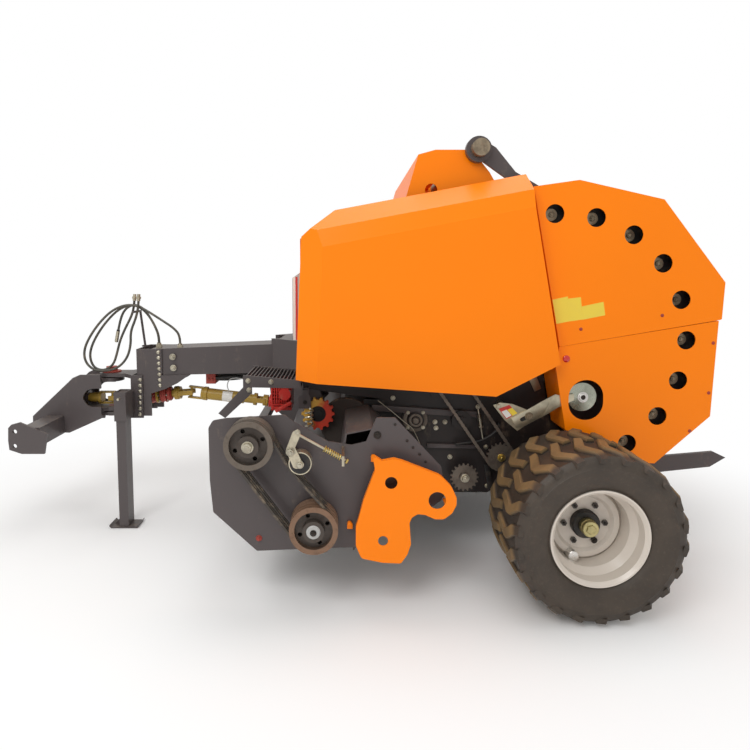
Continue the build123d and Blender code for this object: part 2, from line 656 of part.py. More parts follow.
def drawbar_beam():
    """Hollow main beam that rises and flares where it meets the body."""
    half, wall = BEAM_HALF_WIDTH, BEAM_WALL
    flare_x = FRONT_X - BEAM_FLARE_LENGTH
    rise_x = flare_x + 70
    flare_y = BEAM_FLARE_HALF_WIDTH
    outer = [(BEAM_FRONT_X, BEAM_BOTTOM[0]), (FRONT_X, BEAM_BOTTOM[1]), (FRONT_X, BEAM_REAR_TOP),
             (rise_x, BEAM_REAR_TOP), (flare_x, BEAM_TOP[1]), (BEAM_FRONT_X, BEAM_TOP[0])]
    inner = [(BEAM_FRONT_X, BEAM_BOTTOM[0] + wall), (FRONT_X, BEAM_BOTTOM[1] + wall),
             (FRONT_X, BEAM_REAR_TOP - wall), (rise_x + 2, BEAM_REAR_TOP - wall),
             (flare_x + 2, BEAM_TOP[1] - wall), (BEAM_FRONT_X, BEAM_TOP[0] - wall)]
    tube = side_slab(outer, -half, half) - side_slab(inner, -half + wall, half - wall)
    flare = top_slab([(flare_x, half - wall), (FRONT_X, flare_y), (FRONT_X, flare_y - 12),
                      (flare_x + 22, half - wall)], BEAM_BOTTOM[1], BEAM_REAR_TOP)
    cap = top_slab([(flare_x + 30, half), (FRONT_X, flare_y - 10), (FRONT_X, half)],
                   BEAM_REAR_TOP - wall, BEAM_REAR_TOP)
    return joined(tube, flare, mirrored(flare), cap, mirrored(cap))


def drawbar_adapter():
    """Bolted channel that steps the drawbar down from the main beam to the hitch fork."""
    half = BEAM_HALF_WIDTH
    front_x, foot, top = ADAPTER_FRONT_X, ADAPTER_FOOT, ADAPTER_TOP
    tail_x, notch_x = BEAM_FRONT_X + 262, BEAM_FRONT_X + 78
    corners = [
        (front_x, foot), (BEAM_FRONT_X, foot), (BEAM_FRONT_X, 860), (BEAM_FRONT_X + 95, 891),
        (BEAM_FRONT_X + 181, 931), (tail_x, beam_bottom(tail_x)), (notch_x, beam_bottom(notch_x)),
        (notch_x, top), (front_x, top),
    ]
    plate = side_slab(corners, half, half + ADAPTER_PLATE)
    web = block(front_x, front_x + ADAPTER_PLATE, -half, half, foot, top)
    web = web - rod_x(0, pto_z(front_x), 80, front_x - 1, front_x + ADAPTER_PLATE + 1)
    return joined(web, plate, mirrored(plate))


def lug_corners(front_x, rear_x, rear_half):
    """Top view of a hitch lug: round about the pivot and wider at the rear."""
    radius = LUG_PLATE_RADIUS
    return [
        (front_x, -radius, radius - 1), (front_x, radius, radius - 1), (HITCH_PIVOT_X + 120, radius),
        (rear_x, rear_half), (rear_x, -rear_half), (HITCH_PIVOT_X + 120, -radius),
    ]


def hitch_fork():
    """Fork bolted to the adapter, with two pivot lugs, a driveline bearing and the stand's sleeve."""
    inner = BEAM_HALF_WIDTH + ADAPTER_PLATE
    outer = inner + ADAPTER_PLATE
    z0, z1 = FORK_Z
    web_back = FORK_WEB_X + ADAPTER_PLATE
    web = block(FORK_WEB_X, web_back, -outer, outer, z0, z1)
    cheek = block(FORK_WEB_X, ADAPTER_FRONT_X + 40, inner, outer, z0, z1)
    lugs = [
        top_slab(lug_corners(HITCH_PIVOT_X - LUG_PLATE_RADIUS, FORK_WEB_X, inner), z, z + LUG_PLATE)
        for z in (z0, z1 - LUG_PLATE)
    ]
    shaft_z = pto_z(FORK_WEB_X)
    boss = rod_x(0, shaft_z, 52, FORK_WEB_X - 14, web_back + 14)
    leg_x, leg_y = LEG_SIZE
    gap, wall = SLEEVE_GAP, SLEEVE_WALL
    inner_x, inner_y = leg_x / 2 + gap, leg_y / 2 + gap
    outer_x, outer_y = inner_x + wall, inner_y + wall
    sleeve = block(STAND_X - outer_x, STAND_X + outer_x, STAND_Y - outer_y, STAND_Y + outer_y, *SLEEVE_Z)
    bracket = block(STAND_X - outer_x + 10, STAND_X + outer_x - 6, STAND_Y + outer_y, -outer,
                    SLEEVE_Z[0] + 20, SLEEVE_Z[1] - 20)
    fork = joined(web, cheek, mirrored(cheek), *lugs, boss, sleeve, bracket)
    fork = fork - block(STAND_X - inner_x, STAND_X + inner_x, STAND_Y - inner_y, STAND_Y + inner_y,
                        SLEEVE_Z[0] - 1, SLEEVE_Z[1] + 1)
    start, end = (HITCH_PIVOT_X, PTO_FRONT_Z), MID_JOINT
    shaft_hole = sloped(start, end) * rod_x(0, 0, 25 + PIN_FIT, 100, 300)
    pin_hole = rod_z(HITCH_PIVOT_X, 0, PIVOT_PIN_RADIUS, z0 - 1, z1 + 1)
    return fork - shaft_hole - pin_hole


def pivot_pins():
    """Upper and lower hitch pins, the upper one with its washer and nut."""
    z0, z1 = FORK_Z
    x, radius = HITCH_PIVOT_X, PIVOT_PIN_RADIUS
    reach = 2 * LUG_PLATE + MOVING_GAP
    upper = joined(rod_z(x, 0, radius, z1 - reach, z1), rod_z(x, 0, 62, z1, z1 + 8),
                   Pos(x, 0, z1 + 8) * extrude(RegularPolygon(40, 6), amount=30))
    lower = joined(rod_z(x, 0, radius, z0, z0 + reach), rod_z(x, 0, 45, z0 - 10, z0))
    return [upper, lower]


def stand_leg():
    """Square tube leg with a turned-up foot plate."""
    leg_x, leg_y = LEG_SIZE
    wall = LEG_WALL
    tube = Pos(STAND_X, STAND_Y, (LEG_TOP + FOOT_PLATE) / 2) * (
        Box(leg_x, leg_y, LEG_TOP - FOOT_PLATE) - Box(leg_x - 2 * wall, leg_y - 2 * wall, LEG_TOP))
    cap = block(STAND_X - leg_x / 2, STAND_X + leg_x / 2, STAND_Y - leg_y / 2, STAND_Y + leg_y / 2,
                LEG_TOP - wall, LEG_TOP)
    toe_x, heel_x = STAND_X - FOOT_LENGTH / 2, STAND_X + FOOT_LENGTH / 2
    foot_corners = [
        (toe_x, 12), (toe_x + 12, 0), (heel_x - 12, 0), (heel_x, 12), (heel_x, 20), (heel_x - 14, FOOT_PLATE),
        (toe_x + 14, FOOT_PLATE), (toe_x, 20),
    ]
    foot = side_slab(foot_corners, STAND_Y - FOOT_WIDTH / 2, STAND_Y + FOOT_WIDTH / 2)
    gusset_corners = [(STAND_X - 78, FOOT_PLATE), (STAND_X - leg_x / 2, 60), (STAND_X - leg_x / 2, FOOT_PLATE)]
    gusset = side_slab(gusset_corners, STAND_Y - 5, STAND_Y + 5)
    return joined(tube, cap, foot, gusset)


# Turning hitch

def hitch_head():
    """Head that turns between the fork's lugs: two side plates, two lugs and the shaft bearing."""
    pivot = HITCH_PIVOT_X
    z0, z1 = FORK_Z
    top = z1 - 1
    plate_corners = [
        (NOSE_X, 646), (NOSE_X + 2, 704), (pivot - 214, top - 20), (pivot - 168, top), (pivot - 28, top),
        (pivot - 28, 893), (pivot - 117, 893, 60), (pivot - 158, 830, 40), (pivot - 117, 766, 60),
        (pivot - 28, 766), (pivot - 31, z0 - 8), (pivot - 251, CROSSBAR_BOTTOM_Z),
        (pivot - 314, CROSSBAR_BOTTOM_Z + 3),
    ]
    y0, y1 = HEAD_PLATE_Y, HEAD_PLATE_Y + HEAD_PLATE
    plate = side_slab(plate_corners, y0, y1)
    inner_z0 = z0 + LUG_PLATE + MOVING_GAP
    inner_z1 = z1 - LUG_PLATE - MOVING_GAP
    radius = LUG_PLATE_RADIUS
    bulkhead_x = pivot - 177
    lug = [(bulkhead_x, -y0), (pivot - 47, -y0), (pivot, -radius), (pivot + radius, -radius, radius - 1),
           (pivot + radius, radius, radius - 1), (pivot, radius), (pivot - 47, y0), (bulkhead_x, y0)]
    lugs = [top_slab(lug, inner_z0, inner_z0 + LUG_PLATE), top_slab(lug, inner_z1 - LUG_PLATE, inner_z1)]
    bulkhead = block(bulkhead_x - 12, bulkhead_x, -y0, y0, inner_z0, inner_z1)
    boss_x0, boss_x1 = bulkhead_x - 30, bulkhead_x + 15
    boss = rod_x(0, PTO_FRONT_Z, PTO_SEAT_RADIUS + 18, boss_x0, boss_x1)
    head = joined(plate, mirrored(plate), *lugs, bulkhead, boss)
    head = head - rod_x(0, PTO_FRONT_Z, PTO_SEAT_RADIUS + PIN_FIT, boss_x0 - 1, boss_x1 + 1)
    head = head - rod_z(pivot, 0, PIVOT_PIN_RADIUS + PIN_FIT, z0, z1)
    return head - crossbar_tube()


def crossbar_tube():
    """Square tube of the hitch crossbar."""
    side = CROSSBAR_SIDE
    return block(CROSSBAR_REAR_X - side, CROSSBAR_REAR_X, -CROSSBAR_HALF_LENGTH, CROSSBAR_HALF_LENGTH,
                 CROSSBAR_BOTTOM_Z, CROSSBAR_BOTTOM_Z + side)


def hitch_crossbar():
    """Crossbar between the lower links: a square tube with a drilled plate at each end."""
    wall = BEAM_WALL
    side = CROSSBAR_SIDE
    hollow = block(CROSSBAR_REAR_X - side + wall, CROSSBAR_REAR_X - wall, -CROSSBAR_HALF_LENGTH,
                   CROSSBAR_HALF_LENGTH, CROSSBAR_BOTTOM_Z + wall, CROSSBAR_BOTTOM_Z + side - wall)
    rear, foot = CROSSBAR_REAR_X, CROSSBAR_BOTTOM_Z
    corners = [
        (rear - 189, foot + 121), (rear - 170, foot + 142), (rear - 118, foot + 156), (rear + 51, foot + 83),
        (rear + 29, foot - 44), (rear - 112, foot - 44), (rear - 188, foot - 18), (rear - 193, foot + 41),
    ]
    y0, y1 = CROSSBAR_HALF_LENGTH, CROSSBAR_HALF_LENGTH + END_PLATE
    plate = side_slab(corners, y0, y1)
    for centre in LINK_HOLES:
        plate = plate - rod_y(centre, LINK_HOLE_RADIUS, y0 - 1, y1 + 1)
    return joined(crossbar_tube() - hollow, plate, mirrored(plate))


# Hoses

def corner_radii(points):
    """Largest arc at each corner of a route: 0.45 of the shorter run by the tangent of half the turn."""
    radii = []
    for before, corner, after in zip(points, points[1:], points[2:]):
        first, second = Vector(*corner) - Vector(*before), Vector(*after) - Vector(*corner)
        half_turn = radians(first.get_angle(second)) / 2
        radii.append(0.45 * min(first.length, second.length) / tan(half_turn))
    return radii


def hose(name):
    """Hose along its route: straight runs joined by tangent arcs."""
    radii = corner_radii(HOSE_ROUTES[name])
    path = FilletPolyline(*HOSE_ROUTES[name], radius=radii)
    tube = sweep(Plane(origin=path @ 0, z_dir=path % 0) * Circle(HOSE_RADIUS), path=path)
    share = tube.volume / (pi * HOSE_RADIUS ** 2 * path.length)
    print(name, "length", round(path.length), "volume share", round(share, 4), "radii",
          [round(radius) for radius in radii])
    return tube


def hose_holder():
    """Rod on a foot plate at the drawbar's front, with the bar that the hoses lie over."""
    x, y = HOLDER_FOOT
    foot = block(x - 18, x + 18, y - 18, y + 18, ADAPTER_TOP, ADAPTER_TOP + 8)
    stalk = rod((x, y, ADAPTER_TOP + 4), (HOLDER_BAR[0], y, HOLDER_BAR[1]), HOLDER_RADIUS)
    return joined(foot, stalk, rod_y(HOLDER_BAR, HOLDER_RADIUS, *HOLDER_BAR_Y))


def hose_glands():
    """Short fittings on the beam's top that the hoses leave."""
    glands = []
    half = 16.0
    for route in HOSE_ROUTES.values():
        x, y, top = route[0]
        base = side_slab([(x - half, beam_top(x - half)), (x + half, beam_top(x + half)), (x + half, top - 12),
                          (x - half, top - 12)], y - half, y + half)
        glands.append(joined(base, rod_z(x, y, HOSE_RADIUS + 5, top - 12, top)))
    return glands


def hose_ends():
    """Couplers on the two long hoses and the plug on the short one, each face to face with its hose."""
    r, length = COUPLER_RADIUS, COUPLER_LENGTH
    coupler = [(0, 0), (r, 0), (r, 0.3 * length), (r + 4, 0.32 * length), (r + 4, 0.62 * length),
               (r - 1, 0.64 * length), (r - 1, length), (0, length)]
    plug = [(0, 0), (r - 2, 0), (r, 12), (r, PLUG_LENGTH - 6), (r - 3, PLUG_LENGTH), (0, PLUG_LENGTH)]
    ends = []
    for name, profile in (("hose_outer", coupler), ("hose_inner", coupler), ("hose_short", plug)):
        before, last = HOSE_ROUTES[name][-2:]
        place = Plane(origin=last, z_dir=Vector(*last) - Vector(*before))
        face = make_face(Polyline(*[(radius, 0, height) for radius, height in profile], close=True))
        ends.append(place * revolve(face, Axis.Z))
    return ends


# Driveline

def pto_z(x):
    """Height of the drawbar shaft's axis at x."""
    share = (x - HITCH_PIVOT_X) / (MID_JOINT[0] - HITCH_PIVOT_X)
    return PTO_FRONT_Z + share * (MID_JOINT[1] - PTO_FRONT_Z)


def yoke(base_x, tip_x, across):
    """Universal joint fork on the local x axis, its two prongs apart along y or z."""
    half = PRONG_HALF_WIDTH
    low, high = min(base_x, tip_x), max(base_x, tip_x)
    base_low = low if base_x < tip_x else high - 22
    base = rod_x(0, 0, YOKE_RADIUS, base_low, base_low + 22)
    prongs = []
    for sign in (-1, 1):
        near, far = sign * (YOKE_RADIUS - PRONG_THICKNESS), sign * YOKE_RADIUS
        if across == "y":
            prongs.append(block(low, high, near, far, -half, half))
        else:
            prongs.append(block(low, high, -half, half, near, far))
    return joined(base, *prongs)


def spider(across):
    """Cross of a universal joint at the local origin, its long arm reaching into a fork along y or z."""
    long_arm, short_arm = YOKE_RADIUS - 6, YOKE_RADIUS - 18
    arm_y, arm_z = (long_arm, short_arm) if across == "y" else (short_arm, long_arm)
    return joined(rod_y((0, 0), 11, -arm_y, arm_y), rod_z(0, 0, 11, -arm_z, arm_z), Sphere(18))


def pto_front():
    """Splined input shaft in the hitch head with the first joint's front fork and cross."""
    start = PTO_FRONT_X - HITCH_PIVOT_X
    seat_start, seat_end, yoke_start = start + PTO_FREE_LENGTH, -155, -90
    shaft = rod_x(0, 0, PTO_SHAFT_RADIUS, start, seat_start + 10)
    seat = rod_x(0, 0, PTO_SEAT_RADIUS, seat_start, seat_end + 10)
    collar = rod_x(0, 0, YOKE_RADIUS - 10, seat_end, yoke_start + 15)
    fork = yoke(yoke_start, 18, "z")
    return Pos(HITCH_PIVOT_X, 0, PTO_FRONT_Z) * joined(shaft, seat, collar, fork, spider("z"))


def pto_middle():
    """Drawbar shaft: rear fork of the first joint, overload clutch and front fork of the second joint."""
    length = hypot(MID_JOINT[0] - HITCH_PIVOT_X, MID_JOINT[1] - PTO_FRONT_Z)
    shaft = rod_x(0, 0, 25, 80, length - 80)
    clutch = joined(rod_x(0, 0, 62, 262, 276), rod_x(0, 0, 50, 276, 318), rod_x(0, 0, 62, 318, 332))
    return sloped((HITCH_PIVOT_X, PTO_FRONT_Z), MID_JOINT) * joined(
        shaft, yoke(95, -18, "y"), clutch, yoke(length - 95, length + 18, "y"))


def pto_rear():
    """Telescopic shaft from the second joint to the gearbox."""
    length = hypot(REAR_SHAFT_END[0] - MID_JOINT[0], REAR_SHAFT_END[1] - MID_JOINT[1])
    return sloped(MID_JOINT, REAR_SHAFT_END) * joined(
        spider("z"), yoke(95, -18, "z"), rod_x(0, 0, DRIVE_TUBE_RADIUS, 80, length - 140),
        rod_x(0, 0, DRIVE_TUBE_RADIUS - 8, length - 150, length - 60), yoke(length - 70, length + 14, "y"),
        rod_x(0, 0, YOKE_RADIUS - 4, length - 4, length + 30), rod_x(0, 0, 22, length, length + 80))


def gearbox():
    """Finned gearbox hung under the main beam, with its input boss."""
    x0, x1 = GEARBOX_X
    z0, z1 = GEARBOX_Z
    half = GEARBOX_HALF_WIDTH
    body = block(x0, x1, -half, half, z0, z1)
    fin_heights = range(int(z0) + 18, int(z1) - 10, 24)
    fins = [block(x0 + 8, x1 - 8, -half - 18, half + 18, z, z + 8) for z in fin_heights]
    hanger_corners = [(x0 + 10, z1 - 10), (x1 - 10, z1 - 10), (x1 + 30, beam_bottom(x1 + 30)),
                      (x0 - 20, beam_bottom(x0 - 20))]
    hanger = side_slab(hanger_corners, 70, 82)
    length = hypot(REAR_SHAFT_END[0] - MID_JOINT[0], REAR_SHAFT_END[1] - MID_JOINT[1])
    line = sloped(MID_JOINT, REAR_SHAFT_END)
    boss = line * rod_x(0, 0, 44, length + 38, length + 80)
    extension = rod_y((x1 - 40, DRIVE_SHAFT[1]), 40, -half - 60, half)
    box = joined(body, *fins, hanger, mirrored(hanger), boss, extension)
    return box - line * rod_x(0, 0, 22 + PIN_FIT, length, length + 95)


def toothed_disc(centre, tip_radius, root_radius, teeth, y0, y1, first_angle=0.0):
    """Toothed wheel with flat-topped teeth, the first one at an angle in degrees."""
    tooth = ((-0.30, root_radius), (-0.12, tip_radius), (0.12, tip_radius), (0.30, root_radius))
    points = []
    for number in range(teeth):
        for share, radius in tooth:
            points.append(polar(centre, radius, first_angle + 360 / teeth * (number + share)))
    return side_slab(points, y0, y1)


def drive_shaft():
    """Cross shaft in front of the chamber with the toothed clutch ring on its left end."""
    shaft = rod_y(DRIVE_SHAFT, 25, -700, -112)
    ring = toothed_disc(DRIVE_SHAFT, CLUTCH_RING_RADIUS, CLUTCH_RING_RADIUS - 14, 14, -700, -672)
    ring = ring - rod_y(DRIVE_SHAFT, 45, -701, -690)
    return joined(shaft, ring)


def chain_ends():
    """Centres of the two sprockets that the chain joins, their distance and the angle of the line between."""
    start, end = LOWER_SPROCKETS[1], roller_centre(TOP_SPROCKET_ROLLER)
    return start, end, hypot(end[0] - start[0], end[1] - start[1]), atan2(end[1] - start[1], end[0] - start[0])


def sprocket_radius():
    """Pitch radius at which a whole number of links lies round both sprockets, with a pin in each gap."""
    run = chain_ends()[2]
    return SPROCKET_TEETH * run / (pi * (CHAIN_LINKS - SPROCKET_TEETH))


def chain_sprockets():
    """Sprockets of the left drive compartment: two on posts and one on a roller's shaft."""
    wall_y = -(WALL_INNER_Y + WALL_THICKNESS)
    shaft_y = wall_y - BEARING_DEPTH - 16
    radius = sprocket_radius()
    heading = degrees(chain_ends()[3])
    half_pitch = 180 / SPROCKET_TEETH
    places = (
        # centre, y where its hub starts, how far further out it lies, angle of one tooth
        (LOWER_SPROCKETS[0], wall_y, 24, 0),
        (LOWER_SPROCKETS[1], wall_y, 0, heading + 90 + half_pitch),
        (roller_centre(TOP_SPROCKET_ROLLER), shaft_y, 0, heading - 90),
    )
    pieces = []
    for centre, seat_y, outset, tooth_angle in places:
        y = wall_y - SPROCKET_OUTSET - outset
        disc = toothed_disc(centre, radius + TOOTH_HALF_DEPTH, radius - TOOTH_HALF_DEPTH, SPROCKET_TEETH,
                            y, y - SPROCKET_THICKNESS, tooth_angle)
        pieces.append(joined(disc, rod_y(centre, SPROCKET_HUB_RADIUS, seat_y, y - 2.6 * SPROCKET_THICKNESS)))
    return pieces


def chain_point(distance):
    """Point (x, z) of the chain's line at a distance along it, and the line's direction there in radians."""
    start, end, run, heading = chain_ends()
    radius = sprocket_radius()
    half_length = run + pi * radius
    centre = start
    if distance >= half_length:
        distance, centre, heading = distance - half_length, end, heading + pi
    if distance < pi * radius:
        turn = heading + pi / 2 + distance / radius
        return centre[0] + radius * cos(turn), centre[1] + radius * sin(turn), turn + pi / 2
    along = distance - pi * radius
    leave = heading - pi / 2
    return (centre[0] + radius * cos(leave) + along * cos(heading),
            centre[1] + radius * sin(leave) + along * sin(heading), heading)


def roller_chain():
    """Roller chain round two sprockets: waisted link plates, and a roller in every gap of teeth."""
    pitch = 2 * pi * sprocket_radius() / SPROCKET_TEETH
    profile = ((-0.18, CHAIN_PLATE_HALF), (0.18, CHAIN_PLATE_HALF), (0.5, CHAIN_WAIST_HALF))
    left, right, pins = [], [], []
    for link in range(CHAIN_LINKS):
        for share, half in profile:
            x, z, direction = chain_point((link + share) % CHAIN_LINKS * pitch)
            left.append((x - half * sin(direction), z + half * cos(direction)))
            right.append((x + half * sin(direction), z - half * cos(direction)))
        pins.append(chain_point(link * pitch)[:2])
    band = make_face(Polyline(*right, close=True)) - make_face(Polyline(*left, close=True))
    near_y = -(WALL_INNER_Y + WALL_THICKNESS) - SPROCKET_OUTSET + 0.7
    far_y = near_y - SPROCKET_THICKNESS - 1.4
    plates = [extrude(Plane.XZ.offset(-y) * band, amount=CHAIN_PLATE, dir=(0, 1, 0))
              for y in (near_y, far_y - CHAIN_PLATE)]
    roller_face = RegularPolygon(CHAIN_ROLLER_RADIUS, 6)
    rollers = [extrude(Plane.XZ.offset(-far_y) * Pos(x, z) * roller_face, amount=near_y - far_y, dir=(0, 1, 0))
               for x, z in pins]
    return joined(*plates, *rollers)


def latch_plate():
    """Zinc plate of the tailgate latch, stood off the left wall."""
    corners = [(-380, 946), (-342, 961), (-276, 953), (-168, 911), (-178, 848), (-244, 802), (-313, 860)]
    wall_y = -(WALL_INNER_Y + WALL_THICKNESS)
    plate = side_slab(corners, -852, -860)
    post = rod_y((-290.0, 910.0), 20, wall_y, -852)
    return joined(plate, post)


def step_grate():
    """Step beside the drawbar: slats across a frame, with a front arm."""
    y0, y1 = -830.0, -480.0
    plate = 8.0
    front_x, length = FRONT_X - 320, 320
    top_z, rear_drop = 1108.0, 30.0
    near = side_slab([(front_x, top_z - 105), (front_x + 49, top_z - 105), (front_x + 49, top_z - 69),
                      (FRONT_X, top_z - 74), (FRONT_X, top_z - rear_drop), (front_x, top_z)], y0, y0 + plate)
    arm = side_slab([(front_x, top_z - 68), (front_x + 45, top_z - 105), (front_x - 102, top_z - 242),
                     (front_x - 140, top_z - 215)], y0, y0 + plate)
    far_corners = [(front_x, top_z - 48), (FRONT_X, top_z - 74), (FRONT_X, top_z - rear_drop), (front_x, top_z)]
    far = side_slab(far_corners, y1 - plate, y1)
    slats = []
    for number in range(STEP_SLATS):
        x = front_x + 15 + number * (length - 55) / (STEP_SLATS - 1)
        top = top_z - 2 - (x - front_x) * rear_drop / length
        slats.append(block(x, x + 5, y0, y1, top - 26, top))
    rear = block(FRONT_X - plate, FRONT_X, y0, y1, top_z - 72, top_z - rear_drop - 2)
    return joined(near, arm, far, rear, *slats)


# Tailgate

def tailgate_corners(inset):
    """Outline of the whole tailgate side, seam first, drawn in by inset along x and z at its edges."""
    cx, cz = CHAMBER_CENTRE
    rear = []
    for x, z in TAILGATE_REAR:
        reach = hypot(x - cx, z - cz)
        rear.append((x - (x - cx) / reach * inset, z - (z - cz) / reach * inset))
    seam = [(x + inset, z) for x, z in SEAM]
    seam[0] = (seam[0][0], seam[0][1] - inset)
    seam[4] = (seam[4][0], seam[4][1] + inset)
    return seam + rear


def arm_corners():
    """Side view of a hinge arm, from its hub down to the tailgate."""
    return [
        (HINGE[0] + 6, HINGE[1] + 66), (-361, 2362), (-250, 2230), (-60, 2120), (-70, 2020), (-165, 2060),
        (-250, 2160), (HINGE[0] + 20, HINGE[1] - 60),
    ]


def hinge_arm():
    """Right hinge arm with its hub, from the hinge down to the tailgate's side."""
    y0, y1 = HINGE_ARM_Y, HINGE_ARM_Y + HINGE_ARM_THICKNESS
    arm = side_slab(arm_corners(), y0, y1)
    hub = rod_y(HINGE, HINGE_HUB_RADIUS, y0, y0 + HINGE_HUB_LENGTH)
    spacer = block(-160, -70, WALL_INNER_Y, y0, 2045, 2100)
    arm = joined(arm, hub, spacer)
    return arm - rod_y(HINGE, HINGE_SHAFT_RADIUS + PIN_FIT, y0 - 1, y0 + HINGE_HUB_LENGTH + 1)


def tailgate_frame():
    """Inner walls of the tailgate, joined by cross tubes, with bearing tubes and hinge arms."""
    y0, y1 = WALL_INNER_Y, WALL_INNER_Y + WALL_THICKNESS
    wall = side_slab(tailgate_corners(8), y0, y1)
    tube_radius, tube_end = BEARING_RADIUS - 14, ROLLER_END_Y - 10
    housings = [rod_y(roller_centre(number), tube_radius, y1, tube_end) for number in TAILGATE_ROLLERS]
    side = joined(wall, *housings, hinge_arm())
    for number in TAILGATE_ROLLERS:
        side = side - rod_y(roller_centre(number), ROLLER_SHAFT_RADIUS, y0 - 1, ROLLER_END_Y)
    tubes = []
    for angle in CROSS_TUBE_ANGLES:
        x, z = polar(CHAMBER_CENTRE, CROSS_TUBE_RING, angle)
        tube = Box(CROSS_TUBE_SIDE, 2 * WALL_INNER_Y, CROSS_TUBE_SIDE)
        tubes.append(Pos(x, 0, z) * Rot(0, -angle, 0) * tube)
    return joined(side, mirrored(side), *tubes)


def tailgate_rollers():
    """Rollers of the tailgate, with shafts through the bearing tubes."""
    return [roller(number, ROLLER_END_Y) for number in TAILGATE_ROLLERS]


def side_disc(side):
    """Disc seen through the slot of the lower side panel, on its post."""
    y1 = side * (WALL_INNER_Y + WALL_THICKNESS)
    disc = [(0, 0), (SIDE_DISC_RADIUS, 0), (SIDE_DISC_RADIUS, 6), (30, 14), (0, 14)]
    disc = [(radius, 842 + y) for radius, y in disc]
    shape = joined(turned(disc, SIDE_DISC), rod_y(SIDE_DISC, 22, abs(y1), 842))
    return shape if side > 0 else mirrored(shape)


def panel_pan(corners, depth_y, rim_edges_open):
    """Right side panel: an outer sheet with a rim all round that reaches inboard to depth_y."""
    outer = side_slab(corners, depth_y, PANEL_OUTER_Y)
    cx = sum(corner[0] for corner in corners) / len(corners)
    cz = sum(corner[1] for corner in corners) / len(corners)
    inner = []
    for corner in corners:
        dx, dz = cx - corner[0], cz - corner[1]
        reach = hypot(dx, dz)
        inner.append((corner[0] + dx / reach * rim_edges_open, corner[1] + dz / reach * rim_edges_open))
    return outer - side_slab(inner, depth_y - 1, PANEL_OUTER_Y - SHEET)


def upper_panel():
    """Right upper side panel of the tailgate, with a hole at each roller's end."""
    a, b = PANEL_SPLIT
    corners = [SEAM[0], a, b, TAILGATE_REAR[3], TAILGATE_REAR[4], TAILGATE_REAR[5], TAILGATE_REAR[6]]
    panel = panel_pan(corners, WALL_INNER_Y + WALL_THICKNESS, 7)
    gap = 2
    panel = panel - side_slab(arm_corners(), HINGE_ARM_Y - gap, HINGE_ARM_Y + HINGE_ARM_THICKNESS + gap)
    for number in TAILGATE_ROLLERS[:5]:
        panel = panel - rod_y(roller_centre(number), PANEL_HOLE_RADIUS, PANEL_OUTER_Y - 20, PANEL_OUTER_Y + 1)
    return panel


def lower_panel():
    """Right lower side panel of the tailgate, with roller holes and the slot."""
    a, b = PANEL_SPLIT
    step = 1.0
    corners = [(a[0], a[1] - step), SEAM[2], SEAM[3], SEAM[4], TAILGATE_REAR[0], TAILGATE_REAR[1],
               (TAILGATE_REAR[2][0], TAILGATE_REAR[2][1] - step)]
    panel = panel_pan(corners, WALL_INNER_Y + WALL_THICKNESS, 7)
    for number in TAILGATE_ROLLERS[5:]:
        panel = panel - rod_y(roller_centre(number), PANEL_HOLE_RADIUS, PANEL_OUTER_Y - 20, PANEL_OUTER_Y + 1)
    x0, x1, z0, z1 = SLOT_BOX
    radius = (x1 - x0) / 2 - 1
    slot = [(x0, z0, radius), (x1, z0, radius), (x1, z1, radius), (x0, z1, radius)]
    return panel - side_slab(slot, PANEL_OUTER_Y - 20, PANEL_OUTER_Y + 1)


def latch_arm():
    """Zinc latch arm on the outer face of the left lower panel."""
    corners = [(-254, 854), (-232, 868), (-176, 846), (-95, 880), (-20, 905), (26, 925), (22, 985), (-16, 998),
               (-60, 960), (-160, 905), (-236, 906)]
    y0 = -PANEL_OUTER_Y
    return side_slab(corners, y0, y0 - 10) - rod_y((-200.0, 880.0), 9, y0 + 1, y0 - 11)


# Side doors

def door_section(inset):
    """Upper door section (y, z) at the shoulder's x, and closed down to below the door, drawn in by inset."""
    y, edge = DOOR_OUTER_Y, DOOR_EDGE_Y
    shoulder = (y - 20 - inset, 1915 - inset)
    return [(y - inset, 600), (y - inset, 1820), shoulder, (edge, 2015 - inset), (edge, 600)]


def door_front_x(z):
    """Where the leaning front of the door lies at height z."""
    return DOOR_FRONT_X + (z - DOOR_FRONT_FOOT_Z) * DOOR_FRONT_LEAN


def door_body(inset):
    """Solid body of the right door: its section run along the roof's slope, cut by the front bevel."""
    rise, run = DOOR_SLOPE
    x0, x1 = SHOULDER[0] - 400, SHOULDER[0] + 1300
    lift = (x0 - SHOULDER[0]) * rise / run
    section = make_face(Polyline(*[(y, z + lift) for y, z in door_section(inset)], close=True))
    face = Plane.YZ.offset(x0) * section
    body = extrude(face, amount=x1 - x0, dir=(1, 0, rise / run))
    foot_x = door_front_x(0)
    bevel_x = foot_x + DOOR_BEVEL_X - DOOR_FRONT_X
    bevel = outline([
        (foot_x - 600, DOOR_OUTER_Y + 200), (foot_x - 600, DOOR_EDGE_Y - 50),
        (foot_x + inset, DOOR_EDGE_Y - 50), (foot_x + inset, DOOR_BEVEL_Y - inset),
        (bevel_x + inset, DOOR_OUTER_Y - inset), (bevel_x + inset, DOOR_OUTER_Y + 200)])
    return body - extrude(bevel, amount=3000, dir=(DOOR_FRONT_LEAN, 0, 1))


def door_outline(inset):
    """Side view of the door's sheet, drawn in by inset."""
    gap = MOVING_GAP
    return [
        (DOOR_FRONT_X - 30, DOOR_FRONT_FOOT_Z + inset), (-388, 1013 + inset), (-43 - gap - inset, 1186 + inset),
        (-197 - gap - inset, 2008), (-208 - gap - inset, 2206 + 10 - inset), (SHOULDER[0], 2015 + 10 - inset),
        (-1430 - 4, 1855 + 4 - inset), (-1430 - 60, 1820 - inset),
    ]


